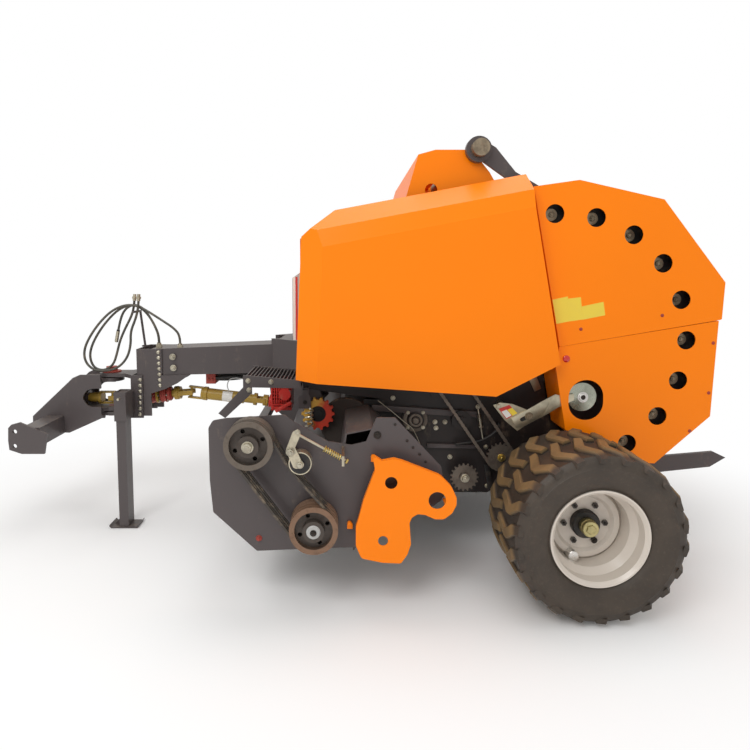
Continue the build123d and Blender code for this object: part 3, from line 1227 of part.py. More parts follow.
def hinge_line(z):
    """Location on the right door's hinge line at height z, its z axis along the line."""
    x = door_front_x(z) + DOOR_LIP_HINGE_OFFSET
    return Pos(x, DOOR_EDGE_Y + 3, z) * Rot(0, degrees(atan2(DOOR_FRONT_LEAN, 1)), 0)


def side_door():
    """Right side door: a folded sheet shell, open inboard, with its edges turned in and hinge knuckles."""
    trim_y0, trim_y1 = DOOR_EDGE_Y - 60, DOOR_OUTER_Y + 60
    outer = door_body(0) & side_slab(door_outline(0), trim_y0, trim_y1)
    inner = door_body(DOOR_SHEET) & side_slab(door_outline(DOOR_SHEET), trim_y0, trim_y1)
    door = outer - inner
    for z0, z1 in DOOR_KNUCKLES:
        middle, height = (z0 + z1) / 2, z1 - z0
        door = door + hinge_line(middle) * Cylinder(DOOR_KNUCKLE_RADIUS, height)
        door = door - hinge_line(middle) * Cylinder(DOOR_PIN_RADIUS + PIN_FIT, height + 40)
    return door


def door_hinge():
    """Right door's hinge rod on two brackets from the side wall, each with a slim tip round the rod."""
    low, high = DOOR_KNUCKLES[0][0] - 8, DOOR_KNUCKLES[-1][1] + 8
    pieces = [hinge_line((low + high) / 2) * Cylinder(DOOR_PIN_RADIUS, high - low)]
    wall_y = WALL_INNER_Y + WALL_THICKNESS
    for z in DOOR_BRACKETS:
        x, y = door_front_x(z) + DOOR_LIP_HINGE_OFFSET, DOOR_EDGE_Y + 3
        pieces.append(top_slab([
            (x + 2, y - 5.5), (x, y + 6), (x + 30, y + 6), (x + 38, y - 10), (x + 38, wall_y), (x + 18, wall_y),
            (x + 18, y - 30), (x + 9.5, y - 8)], z, z + DOOR_BRACKET_SHEET))
    return joined(*pieces)


# Flail pickup

def pickup_plate_corners():
    """Outline of the pickup's side plate."""
    x, z = PICKUP_PIVOT
    return [
        (-1871, 641), (-1873, 906, 30), (-1851, 942, 20), (-1785, 954), (-1493, 971, 30), (-1458, 942, 30),
        (-1281, 837), (-1162, 819), (-1092, 837), (-1041, 957, 10), (-949, 957, 10), (-717, 709, 30),
        (x + 52, z, 40), (x, z - 54, 40), (-1144, 292, 20), (-1464, 281), (-1640, 273, 20), (-1857, 475, 20),
    ]


def pickup_housing():
    """Welded pickup body: side plates, flail hood, auger trough with closed wings, and a front tube."""
    plate_y = PICKUP_PLATE_Y
    plate = side_slab(pickup_plate_corners(), plate_y, plate_y + PICKUP_PLATE)
    for centre, radius in ((PICKUP_PIVOT, PICKUP_PIVOT_RADIUS), (ROTOR, 30), (AUGER, 25), (UPPER_PULLEY, 25)):
        plate = plate - rod_y(centre, radius + PIN_FIT, plate_y - 1, plate_y + PICKUP_PLATE + 1)
    sheet = PICKUP_SHEET
    hood_r, trough_r = ROTOR_HOOD_RADIUS, TROUGH_RADIUS
    width = (-plate_y, plate_y)
    hood_end = polar(ROTOR, hood_r + sheet / 2, 60)
    throat = polar(ROTOR, hood_r + sheet / 2, 41)
    trough_edge = polar(AUGER, trough_r + sheet / 2, 200)
    hood_top = ((-1190.0, 872.0), (-1060.0, 898.0), (-950.0, 803.0))
    pieces = [
        plate, mirrored(plate),
        ring_sector(ROTOR, hood_r, hood_r + sheet, 60, 195, *width),
        ring_sector(ROTOR, hood_r, hood_r + sheet, -40, 41, *width),
        strip(throat, trough_edge, sheet, *width),
        ring_sector(AUGER, trough_r, trough_r + sheet, 200, 290, *width),
        strip(hood_end, hood_top[0], sheet, *width),
        strip(hood_top[0], hood_top[1], sheet, *width),
        strip(hood_top[1], hood_top[2], sheet, *width),
        block(-1830, -1770, *width, 560, 620),
    ]
    for y0, y1 in ((-plate_y, -WALL_INNER_Y - 24), (WALL_INNER_Y + 24, plate_y)):
        pieces.append(ring_sector(AUGER, trough_r, trough_r + sheet, -71, 84, y0, y1))
    return joined(*pieces)


def flail_rotor():
    """Rotor tube with staggered rows of flails and stub shafts, the left one carrying the pulley."""
    tube = rod_y(ROTOR, ROTOR_TUBE_RADIUS, -PICKUP_PLATE_Y + 30, PICKUP_PLATE_Y - 30)
    shaft = rod_y(ROTOR, 30, PULLEY_Y[0] - 8, PICKUP_PLATE_Y + PICKUP_PLATE + 12)
    span = 2 * (PICKUP_PLATE_Y - 110)
    pitch = span / FLAILS_PER_ROW
    flails = []
    for row in range(FLAIL_ROWS):
        angle = 360 / FLAIL_ROWS * row + 20
        offset = pitch / FLAIL_ROWS * row
        for number in range(FLAILS_PER_ROW):
            y = -span / 2 + pitch * number + offset
            reach = FLAIL_REACH - ROTOR_TUBE_RADIUS + 10
            flail = Pos(ROTOR_TUBE_RADIUS - 10 + reach / 2, 0, 0) * Box(reach, FLAIL_WIDTH, FLAIL_THICKNESS)
            flails.append(Pos(ROTOR[0], y, ROTOR[1]) * Rot(0, -angle, 0) * flail)
    return joined(tube, shaft, *flails)


def pulley(centre):
    """Two-groove belt pulley with a dished web, four holes and a hub."""
    y0, y1 = PULLEY_Y
    r, depth, half = PULLEY_RADIUS, GROOVE_DEPTH, BELT_WIDTH / 2 + 2
    groove = []
    for y in (BELT_Y[1], BELT_Y[0]):
        groove += [(r, y - half - 3), (r - depth, y - half), (r - depth, y + half), (r, y + half + 3)]
    rim_profile = [(r, y0)] + groove + [(r, y1), (r - depth - 6, y1), (r - depth - 6, y0)]
    web_y = y0 + 26
    web = [(40, web_y), (r - 20, web_y), (r - 20, web_y + 12), (40, web_y + 12)]
    hub = [(22, y0 - 12), (52, y0 - 12), (52, y1 + 4), (22, y1 + 4)]
    wheel = joined(turned(rim_profile, centre), turned(web, centre), turned(hub, centre))
    for number in range(4):
        hole = polar(centre, 72, 90 * number + 23)
        wheel = wheel - rod_y(hole, 11, web_y - 1, web_y + 13)
    return wheel


def lower_pulley():
    """Pulley on the rotor's left stub shaft."""
    return pulley(ROTOR) - rod_y(ROTOR, 30, PULLEY_Y[0] - 60, PULLEY_Y[1] + 60)


def upper_pulley():
    """Driven pulley on its own stub shaft through the left side plate."""
    shaft = rod_y(UPPER_PULLEY, 25, PULLEY_Y[0] - 14, -PICKUP_PLATE_Y + 70)
    collar = rod_y(UPPER_PULLEY, 45, -PICKUP_PLATE_Y + 12, -PICKUP_PLATE_Y + 60)
    return joined(pulley(UPPER_PULLEY), shaft, collar)


def drive_belts():
    """Two V-belts round both pulleys, pressed in by the idler."""
    bend = IDLER_RADIUS + BELT_THICKNESS / 2 + 0.5
    wheels = [(*UPPER_PULLEY, BELT_RADIUS, 1), (*ROTOR, BELT_RADIUS, 1), (*IDLER, bend, -1)]
    return [belt(wheels, BELT_THICKNESS, y - BELT_WIDTH / 2, y + BELT_WIDTH / 2) for y in BELT_Y]


def idler_arm():
    """Idler roller on its bent arm, with the tension rod that runs back to a tab on the side plate."""
    plate_y = -(PICKUP_PLATE_Y + PICKUP_PLATE)
    wheel = rod_y(IDLER, IDLER_RADIUS, PULLEY_Y[0] + 2, PULLEY_Y[1] - 2)
    arm_y0, arm_y1 = PULLEY_Y[0] - 14, PULLEY_Y[0] - 2
    pivot_x, pivot_z = IDLER_ARM_PIVOT
    arm = side_slab([
        (pivot_x + 18, pivot_z - 87, 20), (pivot_x + 64, pivot_z - 69, 20), (pivot_x + 22, pivot_z + 21),
        (pivot_x + 54, pivot_z + 96, 15), (pivot_x + 14, pivot_z + 103, 15), (pivot_x - 22, pivot_z + 9, 20),
    ], arm_y0, arm_y1)
    axle = rod_y(IDLER, 16, arm_y1, plate_y)
    post = rod_y(IDLER_ARM_PIVOT, 14, arm_y1, plate_y)
    rod_line_y = arm_y0 - TENSION_ROD_RADIUS + 2
    (x0, z0), (x1, z1) = TENSION_ROD
    tension = rod((x0, rod_line_y, z0), (x1, rod_line_y, z1), TENSION_ROD_RADIUS)
    tab_x, tab_z = TENSION_TAB
    tab = block(tab_x - 6, tab_x + 6, rod_line_y - 14, plate_y, tab_z - 12, tab_z + 36)
    return joined(wheel, arm, axle, post, tension, tab)


def chain_guard():
    """Shaped guard over the pickup's chain on the left: a sheet with a turned rim, held off by posts."""
    plate_y = -(PICKUP_PLATE_Y + PICKUP_PLATE)
    outer_y = plate_y - GUARD_STANDOFF
    corners = [
        (-1063, 782, 4), (-1049, 789, 4), (-1017, 768, 10), (-960, 779, 30), (-919, 768, 30), (-734, 695, 60),
        (-684, 644, 60), (-657, 586, 30), (-658, 550, 30), (-678, 510, 30), (-717, 480, 30), (-760, 480, 30),
        (-810, 502, 10), (-845, 506, 20), (-873, 488, 15), (-884, 461, 20), (-876, 354, 30), (-893, 302, 30),
        (-924, 257, 20), (-1014, 261, 30), (-1117, 283, 25), (-1144, 346, 30), (-1144, 442, 30), (-1132, 479, 30),
        (-1108, 572, 30), (-1052, 725),
    ]
    guard = side_slab(corners, outer_y + GUARD_RIM, outer_y)
    face = Plane.XZ.offset(-(outer_y + SHEET)) * offset(outline(corners), amount=-SHEET)
    guard = guard - extrude(face, amount=GUARD_RIM, dir=(0, 1, 0))
    for centre, radius in GUARD_HOLES:
        guard = guard - rod_y(centre, radius, outer_y - 1, outer_y + SHEET + 1)
    posts = [rod_y(centre, GUARD_POST_RADIUS, outer_y + 1, plate_y) for centre in GUARD_POSTS]
    return joined(guard, *posts)


def auger():
    """Cross auger: a tube on stub shafts with a left-hand and a right-hand flight that meet in the middle."""
    reach_y = PICKUP_PLATE_Y + PICKUP_PLATE + 10
    length = PICKUP_PLATE_Y - 24
    tube = rod_y((0, 0), AUGER_TUBE_RADIUS, -PICKUP_PLATE_Y + 16, PICKUP_PLATE_Y - 16)
    shaft = rod_y((0, 0), 25, -reach_y, reach_y)
    foot, tip = AUGER_TUBE_RADIUS - 6, AUGER_RADIUS
    line = Helix(pitch=AUGER_PITCH, height=length, radius=(foot + tip) / 2)
    section = Plane(origin=line @ 0, x_dir=(1, 0, 0), z_dir=line % 0) * Rectangle(tip - foot, AUGER_SHEET)
    flight = Rot(-90, 0, 0) * sweep(section, path=line, is_frenet=True)
    return Pos(AUGER[0], 0, AUGER[1]) * joined(tube, shaft, flight, mirrored(flight))


# Nodes: name and its solids

def right_and_left(name, shape):
    """Two nodes that mirror each other, from the right one."""
    return {name + "_right": [shape], name + "_left": [mirrored(shape)]}


def nodes():
    """All nodes by name."""
    parts = {
        "axle_beam": [axle_beam()],
        "chamber_wall_left": [chamber_wall(-1)],
        "chamber_wall_right": [chamber_wall(1)],
        "fixed_rollers": fixed_rollers(),
        "front_cover": [front_cover()],
        "top_hood": [top_hood()],
        "hinge_shaft": [hinge_shaft()],
        "front_box": [front_box()],
        "front_crossbeam": [front_crossbeam()],
        "bale_ramp": [bale_ramp()],
        "feed_floor": [feed_floor()],
        "pickup_pivots": pickup_pivots(),
        "drawbar_beam": [drawbar_beam()],
        "drawbar_adapter": [drawbar_adapter()],
        "hitch_fork": [hitch_fork()],
        "pivot_pins": pivot_pins(),
        "stand_leg": [stand_leg()],
        "hitch_head": [hitch_head()],
        "hitch_crossbar": [hitch_crossbar()],
        "hose_holder": [hose_holder()],
        "hose_glands": hose_glands(),
        "hose_ends": hose_ends(),
        "hose_outer": [hose("hose_outer")],
        "hose_inner": [hose("hose_inner")],
        "hose_short": [hose("hose_short")],
        "pto_front": [pto_front()],
        "pto_middle": [pto_middle()],
        "pto_rear": [pto_rear()],
        "gearbox": [gearbox()],
        "drive_shaft": [drive_shaft()],
        "chain_sprockets": chain_sprockets(),
        "roller_chain": [roller_chain()],
        "latch_plate": [latch_plate()],
        "step_grate": [step_grate()],
        "door_hinges": both_sides(door_hinge()),
        "tailgate_frame": [tailgate_frame()],
        "tailgate_rollers": tailgate_rollers(),
        "side_discs": [side_disc(-1), side_disc(1)],
        "latch_arm": [latch_arm()],
        "pickup_housing": [pickup_housing()],
        "flail_rotor": [flail_rotor()],
        "lower_pulley": [lower_pulley()],
        "upper_pulley": [upper_pulley()],
        "drive_belts": drive_belts(),
        "idler_arm": [idler_arm()],
        "chain_guard": [chain_guard()],
        "auger": [auger()],
        "tyre_left": [tyre(-1)],
        "rim_left": [rim(-1)],
        "rim_right": [rim(1)],
    }
    parts["tyre_right"] = [mirrored(parts["tyre_left"][0])]
    parts.update(right_and_left("upper_panel", upper_panel()))
    parts.update(right_and_left("lower_panel", lower_panel()))
    parts.update(right_and_left("side_door", side_door()))
    return parts


def write(parts):
    """Write each node to its own file, moved so that the origin lies under the middle of the box."""
    os.makedirs("parts", exist_ok=True)
    for name, pieces in parts.items():
        solids = [solid for piece in pieces for solid in piece.solids()]
        shape = solids[0] if len(solids) == 1 else Compound(solids)
        export_step(Pos(AXLE_X, 0, 0) * shape, os.path.join("parts", name + ".step"))


write(nodes())
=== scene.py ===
"""Finishes, small parts, studio and camera for a parked round baler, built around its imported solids."""

import json
import logging
import math
from dataclasses import dataclass
from enum import Enum
from typing import Sequence

import bmesh
import bpy
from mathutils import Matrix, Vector

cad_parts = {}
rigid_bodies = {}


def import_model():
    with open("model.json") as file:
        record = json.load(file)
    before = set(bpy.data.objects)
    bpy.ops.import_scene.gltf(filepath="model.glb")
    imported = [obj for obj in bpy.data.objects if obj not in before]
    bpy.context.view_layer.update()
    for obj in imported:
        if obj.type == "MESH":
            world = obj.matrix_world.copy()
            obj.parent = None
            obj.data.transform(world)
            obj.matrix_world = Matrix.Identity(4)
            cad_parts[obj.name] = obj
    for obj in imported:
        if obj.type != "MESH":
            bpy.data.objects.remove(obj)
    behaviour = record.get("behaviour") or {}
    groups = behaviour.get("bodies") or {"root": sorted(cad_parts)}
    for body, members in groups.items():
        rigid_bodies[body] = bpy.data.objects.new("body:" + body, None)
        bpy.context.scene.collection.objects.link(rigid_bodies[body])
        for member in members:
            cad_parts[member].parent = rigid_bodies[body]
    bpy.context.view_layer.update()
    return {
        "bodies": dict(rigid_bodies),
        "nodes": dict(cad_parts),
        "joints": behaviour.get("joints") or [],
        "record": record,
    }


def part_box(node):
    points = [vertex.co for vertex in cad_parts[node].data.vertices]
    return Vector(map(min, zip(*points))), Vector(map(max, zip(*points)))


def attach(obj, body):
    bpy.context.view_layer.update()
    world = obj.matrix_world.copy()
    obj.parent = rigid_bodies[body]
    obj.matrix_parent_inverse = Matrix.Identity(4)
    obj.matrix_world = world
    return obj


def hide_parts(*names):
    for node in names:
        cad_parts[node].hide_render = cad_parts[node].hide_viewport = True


LOG = logging.getLogger("baler")
PHOTO_PIXELS = 750
WHITE = (1.0, 1.0, 1.0)
UNSTRETCHED = (1.0, 1.0, 1.0)
Colour = tuple[float, float, float]
Corner = tuple[float, float]
Triple = tuple[float, float, float]
# Axes across the machine: x behind the wheels' axle and z above the ground, in mm.
UPPER_PULLEY = (-1656.0, 851.0)
LOWER_PULLEY = (-1348.0, 436.0)
CLUTCH_RING = (-1352.0, 858.0)


class Body(Enum):
    """Rigid bodies of the machine that the pieces made here ride on."""

    CHASSIS = "chassis"
    WHEEL_LEFT = "wheel_left"
    WHEEL_RIGHT = "wheel_right"
    TAILGATE = "tailgate"
    PICKUP = "pickup"
    ROTOR = "rotor"
    PULLEY = "pulley"
    DRAWBAR_SHAFT = "drawbar_shaft"
    GEARBOX_SHAFT = "gearbox_shaft"


class Slot(Enum):
    """Material slots of the record."""

    ORANGE = "orange_paint"
    GREY = "dark_grey_paint"
    ROLLER = "roller_steel"
    RED = "red_paint"
    YELLOW = "yellow_paint"
    IRON = "cast_iron"
    ZINC = "zinc_plate"
    STEEL = "bright_steel"
    LIGHT_GREY = "light_grey_paint"
    SHAFT = "shaft_steel"
    TYRE = "tyre_rubber"
    SILVER = "silver_paint"
    BELT = "belt_rubber"
    HOSE = "hose_rubber"


def linear(red: float, green: float, blue: float) -> Colour:
    """Linear colour from display values between 0 and 255.

    Args:
        red: Red as displayed.
        green: Green as displayed.
        blue: Blue as displayed.

    Returns:
        The three linear components between 0 and 1.
    """
    def channel(value: float) -> float:
        """One display value as a linear component."""
        share = value / 255
        return share / 12.92 if share <= 0.04045 else ((share + 0.055) / 1.055) ** 2.4

    return channel(red), channel(green), channel(blue)


class Signal:
    """An output socket that takes part in arithmetic; each operator adds one Math node."""

    def __init__(self, graph: "Graph", socket: bpy.types.NodeSocket) -> None:
        """Keep the socket and the graph that it belongs to."""
        self.graph = graph
        self.socket = socket

    def __add__(self, other: "Signal | float") -> "Signal":
        """Sum."""
        return self.graph.maths("ADD", self, other)

    __radd__ = __add__

    def __sub__(self, other: "Signal | float") -> "Signal":
        """Difference."""
        return self.graph.maths("SUBTRACT", self, other)

    def __rsub__(self, other: float) -> "Signal":
        """Difference from a number."""
        return self.graph.maths("SUBTRACT", other, self)

    def __mul__(self, other: "Signal | float") -> "Signal":
        """Product."""
        return self.graph.maths("MULTIPLY", self, other)

    __rmul__ = __mul__

    def __truediv__(self, other: "Signal | float") -> "Signal":
        """Quotient."""
        return self.graph.maths("DIVIDE", self, other)

    def __pow__(self, other: float) -> "Signal":
        """Power."""
        return self.graph.maths("POWER", self, other)

    def step(self, low: float, high: float) -> "Signal":
        """Smooth rise from 0 at low to 1 at high.

        Args:
            low: Input that gives 0.
            high: Input that gives 1; below low, the rise is a fall.

        Returns:
            The stepped signal.
        """
        return self.graph.node(
            "ShaderNodeMapRange", {"interpolation_type": "SMOOTHSTEP"},
            {"Value": self, "From Min": low, "From Max": high}, "Result")


class Graph:
    """Node tree of one material, ending in a Principled shader."""

    def __init__(self, name: str) -> None:
        """Make an empty material.

        Args:
            name: Name of the new material.
        """
        self.material = bpy.data.materials.new(name)
        self.material.use_nodes = True
        self.tree = self.material.node_tree
        self.tree.nodes.clear()

    def feed(self, socket: bpy.types.NodeSocket, value: object) -> None:
        """Link a signal to a socket, or set the socket's own value.

        Args:
            socket: Input socket.
            value: Signal, number, vector or colour.
        """
        if isinstance(value, Signal):
            self.tree.links.new(value.socket, socket)
        elif socket.type == "RGBA" and len(value) == 3:
            socket.default_value = (*value, 1.0)
        else:
            socket.default_value = value

    def node(self, kind: str, settings: dict | None = None, inputs: dict | None = None,
             output: str | int = 0) -> Signal:
        """Add one node.

        Args:
            kind: Node type.
            settings: Attributes to set first.
            inputs: Values or signals by socket name or number.
            output: Name or number of the output wanted.

        Returns:
            The wanted output.
        """
        made = self.tree.nodes.new(kind)
        for name, value in (settings or {}).items():
            setattr(made, name, value)
        for name, value in (inputs or {}).items():
            self.feed(made.inputs[name], value)
        return Signal(self, made.outputs[output])

    def maths(self, operation: str, first: Signal | float, second: Signal | float) -> Signal:
        """Math node on two values."""
        return self.node("ShaderNodeMath", {"operation": operation}, {0: first, 1: second})

    def place(self) -> Signal:
        """Point on the surface in the machine's own frame, in metres."""
        return self.node("ShaderNodeTexCoord", output="Object")

    def axes(self, vector: Signal) -> tuple[Signal, Signal, Signal]:
        """The three parts of a vector signal.

        Args:
            vector: The signal that is split.

        Returns:
            Its x, y and z.
        """
        split = self.tree.nodes.new("ShaderNodeSeparateXYZ")
        self.feed(split.inputs[0], vector)
        return tuple(Signal(self, split.outputs[i]) for i in range(3))

    def radius(self, centre: Corner) -> Signal:
        """Distance of the surface from an axis across the machine, given by its x and z.

        Args:
            centre: x and z of the axis.

        Returns:
            The distance, in the frame's metres.
        """
        x, _, z = self.axes(self.place())
        across, up = x - centre[0], z - centre[1]
        return (across * across + up * up) ** 0.5

    def noise(self, scale: float, detail: float = 3.0, rough: float = 0.55,
              stretch: Triple = UNSTRETCHED) -> Signal:
        """Noise over the surface.

        Args:
            scale: Features per metre.
            detail: Octaves.
            rough: Weight of the finer octaves.
            stretch: Scale of each axis before the noise is taken.

        Returns:
            Noise between 0 and 1, about one half.
        """
        vector = self.place()
        if stretch != UNSTRETCHED:
            vector = self.node("ShaderNodeMapping", inputs={"Vector": vector, "Scale": stretch})
        return self.node("ShaderNodeTexNoise", inputs={
            "Vector": vector, "Scale": scale, "Detail": detail, "Roughness": rough})

    def mix(self, share: Signal | float, first: Signal | Colour, second: Signal | Colour) -> Signal:
        """Colour between two colours.

        Args:
            share: Weight of the second colour.
            first: Colour at 0.
            second: Colour at 1.

        Returns:
            The mixed colour.
        """
        return self.node("ShaderNodeMix", {"data_type": "RGBA"}, {0: share, 6: first, 7: second}, 2)

    def facing_up(self) -> Signal:
        """1 on faces that look up, 0 on sides and below."""
        normal = self.node("ShaderNodeNewGeometry", output="Normal")
        return self.axes(normal)[2].step(0.35, 0.95)

    def bump(self, height: Signal, strength: float, distance: float) -> Signal:
        """Normal disturbed by a height."""
        return self.node("ShaderNodeBump",
                         inputs={"Height": height, "Strength": strength, "Distance": distance})

    def principled(self, inputs: dict) -> bpy.types.Material:
        """Close the graph with a Principled shader.

        Args:
            inputs: Values or signals by socket name.

        Returns:
            The finished material.
        """
        self.close(self.node("ShaderNodeBsdfPrincipled", inputs=inputs))
        return self.material

    def close(self, shader: Signal) -> None:
        """Link a shader to the material's output."""
        out = self.tree.nodes.new("ShaderNodeOutputMaterial")
        self.tree.links.new(shader.socket, out.inputs["Surface"])


DUST = linear(172, 152, 126)
RUST = linear(120, 78, 52)
BLACK = linear(24, 22, 22)
GRAIN_SCALE = 190.0
GRAIN_DEPTH = 0.0006


@dataclass(frozen=True)
class Paint:
    """Sprayed paint: orange peel, faint clouds in its tone, dust on what faces up and rubbed places."""

    name: str
    colour: Colour
    roughness: float = 0.34
    coat: float = 0.3
    clouds: float = 0.10
    dust: float = 0.15
    scuffs: float = 0.0
    peel: float = 0.05
    specular: float = 0.35
    cloud_shade: float = 0.72
    scuff_stretch: Triple = (1.0, 1.0, 0.35)

    def material(self) -> bpy.types.Material:
        """Build the paint's nodes.

        Returns:
            The material.
        """
        graph = Graph(self.name)
        cloud = graph.noise(2.3, 2.0).step(0.35, 0.72)
        grit = graph.noise(46.0, 4.0, 0.65)
        shade = tuple(part * self.cloud_shade for part in self.colour)
        tone = graph.mix(cloud * self.clouds, self.colour, shade)
        settled = grit.step(0.38, 0.70) * graph.facing_up() * self.dust
        patches = graph.noise(9.0, 6.0, 0.7, self.scuff_stretch).step(0.56, 0.74)
        rubbed = patches * grit.step(0.35, 0.65) * self.scuffs
        tone = graph.mix(settled + rubbed, tone, DUST)
        rough = grit * 0.10 + rubbed * 0.35 + settled * 0.5 + (self.roughness - 0.05)
        return graph.principled({
            "Base Color": tone, "Roughness": rough, "Coat Weight": self.coat, "Coat Roughness": 0.15,
            "Specular IOR Level": self.specular,
            "Normal": graph.bump(graph.noise(GRAIN_SCALE, 2.0), self.peel, GRAIN_DEPTH)})


@dataclass(frozen=True)
class Metal:
    """Bare or plated metal with fine brushing, blotches and a little rust or grime."""

    name: str
    colour: Colour
    roughness: float = 0.38
    metallic: float = 1.0
    grime: float = 0.3
    rust: float = 0.1
    grime_colour: Colour = linear(58, 50, 44)
    brushed: Triple = (1.0, 8.0, 1.0)

    def material(self) -> bpy.types.Material:
        """Build the metal's nodes.

        Returns:
            The material.
        """
        graph = Graph(self.name)
        blotch = graph.noise(14.0, 5.0, 0.65)
        brush = graph.noise(60.0, 3.0, 0.6, self.brushed)
        dirty = blotch.step(0.42, 0.68) * self.grime
        rusty = graph.noise(31.0, 6.0, 0.7).step(0.54, 0.70) * self.rust
        tone = graph.mix(rusty, graph.mix(dirty, self.colour, self.grime_colour), RUST)
        rough = brush * 0.16 + dirty * 0.3 + rusty * 0.4 + (self.roughness - 0.06)
        return graph.principled({
            "Base Color": tone, "Roughness": rough, "Metallic": self.metallic - rusty * 0.8,
            "Normal": graph.bump(brush * 0.5 + blotch * 0.5, 0.12, 0.0012)})


@dataclass(frozen=True)
class TyreRubber:
    """Tyre rubber: brown-grey sides, lugs whose tread faces are rubbed with tan dust, and painted shade in
    the valleys between the lugs.
    """

    name: str
    axle: Corner
    tread_radius: float
    side: Colour = linear(67, 57, 47)
    lug: Colour = linear(132, 107, 70)
    deep: Colour = linear(44, 38, 33)
    lug_foot: float = 0.019
    lug_top: float = 0.006
    # Shares of the tread radius over which the painted shade between the lugs fades in.
    valley_shade: Corner = (0.72, 0.93)

    def material(self) -> bpy.types.Material:
        """Build the rubber's nodes round the axle at its x and z.

        Returns:
            The material.
        """
        graph = Graph(self.name)
        radius = graph.radius(self.axle)
        grit = graph.noise(60.0, 5.0, 0.7)
        cloud = graph.noise(7.0, 4.0, 0.6)
        tread = radius.step(self.tread_radius - self.lug_foot, self.tread_radius - self.lug_top)
        inner, outer = self.valley_shade
        # Painted shade: mask of the valleys between the lugs, fading out down the side wall.
        valley_shade = radius.step(inner * self.tread_radius, outer * self.tread_radius) * (1 - tread)
        tone = graph.mix(cloud.step(0.3, 0.75) * 0.45, self.side, self.deep)
        tone = graph.mix(grit.step(0.5, 0.85) * 0.10, tone, DUST)
        # Darken the valleys as painted shade, broken up by the cloud noise.
        tone = graph.mix(valley_shade * cloud.step(0.3, 0.7) * 0.35, tone, self.deep)
        tone = graph.mix(tread * (cloud.step(0.25, 0.70) * 0.45 + 0.50), tone, self.lug)
        return graph.principled({
            "Base Color": tone, "Roughness": cloud * 0.20 + 0.46,
            "Normal": graph.bump(grit * 0.5 + cloud * 0.5, 0.20, 0.002)})


@dataclass(frozen=True)
class Plain:
    """Rubber, plastic or a blank sticker: one colour with a faint grain."""

    name: str
    colour: Colour
    roughness: float = 0.5
    grime: float = 0.15
    coat: float = 0.0
    grain: float = 0.15

    def material(self) -> bpy.types.Material:
        """Build the nodes.

        Returns:
            The material.
        """
        graph = Graph(self.name)
        cloud = graph.noise(22.0, 5.0, 0.65)
        tone = graph.mix(cloud.step(0.45, 0.75) * self.grime, self.colour, DUST)
        return graph.principled({
            "Base Color": tone, "Roughness": cloud * 0.2 + (self.roughness - 0.1), "Coat Weight": self.coat,
            "Normal": graph.bump(graph.noise(150.0, 3.0), self.grain, GRAIN_DEPTH)})


@dataclass(frozen=True)
class RimPaint:
    """Silver paint on a rim, with dark plated nuts and a black hub in its middle; sizes in metres."""

    name: str
    axle: Corner
    silver: Colour = linear(212, 203, 192)
    nut: Colour = linear(66, 62, 58)
    dust: Colour = linear(120, 108, 98)
    face: float = 1.1805
    nut_reach: float = 0.13
    hub_radius: float = 0.063
    dusty_span: Corner = (0.08, 0.26)
    edge: float = 0.0005

    def material(self) -> bpy.types.Material:
        """Build the nodes round the axle at its x and z.

        Returns:
            The material.
        """
        graph = Graph(self.name)
        x, y, z = graph.axes(graph.place())
        across, up = x - self.axle[0], z - self.axle[1]
        radius = (across * across + up * up) ** 0.5
        outward = (y * y) ** 0.5
        proud = outward.step(self.face, self.face + 0.0004)
        nuts = proud * (1 - radius.step(self.nut_reach, self.nut_reach + self.edge))
        hub = 1 - radius.step(self.hub_radius, self.hub_radius + self.edge)
        cloud = graph.noise(9.0, 4.0, 0.6)
        dusty = (1 - radius.step(*self.dusty_span)) * cloud.step(0.3, 0.7) * 0.16
        tone = graph.mix(dusty, self.silver, self.dust)
        tone = graph.mix(nuts, tone, self.nut)
        tone = graph.mix(hub, tone, BLACK)
        return graph.principled({
            "Base Color": tone, "Roughness": cloud * 0.1 + 0.27, "Coat Weight": 0.2,
            "Coat Roughness": 0.15,
            "Normal": graph.bump(graph.noise(GRAIN_SCALE, 2.0), 0.05, GRAIN_DEPTH)})


@dataclass(frozen=True)
class ClutchPaint:
    """Clutch ring painted yellow on its upper front and red below, both worn down to brown."""

    name: str
    centre: Corner
    yellow: Colour = linear(206, 160, 66)
    red: Colour = linear(196, 58, 36)
    bore: float = 0.046

    def material(self) -> bpy.types.Material:
        """Build the nodes round the shaft's x and z.

        Returns:
            The material.
        """
        graph = Graph(self.name)
        x, _, z = graph.axes(graph.place())
        worn = graph.noise(38.0, 5.0, 0.7)
        across, up = x - self.centre[0], z - self.centre[1]
        radius = (across * across + up * up) ** 0.5
        side = up * 0.45 - across + (worn - 0.5) * 0.10
        tone = graph.mix(side.step(-0.02, 0.035), self.red, self.yellow)
        tone = graph.mix(worn.step(0.54, 0.72) * 0.5, tone, RUST)
        tone = graph.mix(1 - radius.step(self.bore, self.bore + 0.001), tone, BLACK)
        return graph.principled({
            "Base Color": tone, "Roughness": worn * 0.3 + 0.38,
            "Normal": graph.bump(worn, 0.2, 0.001)})


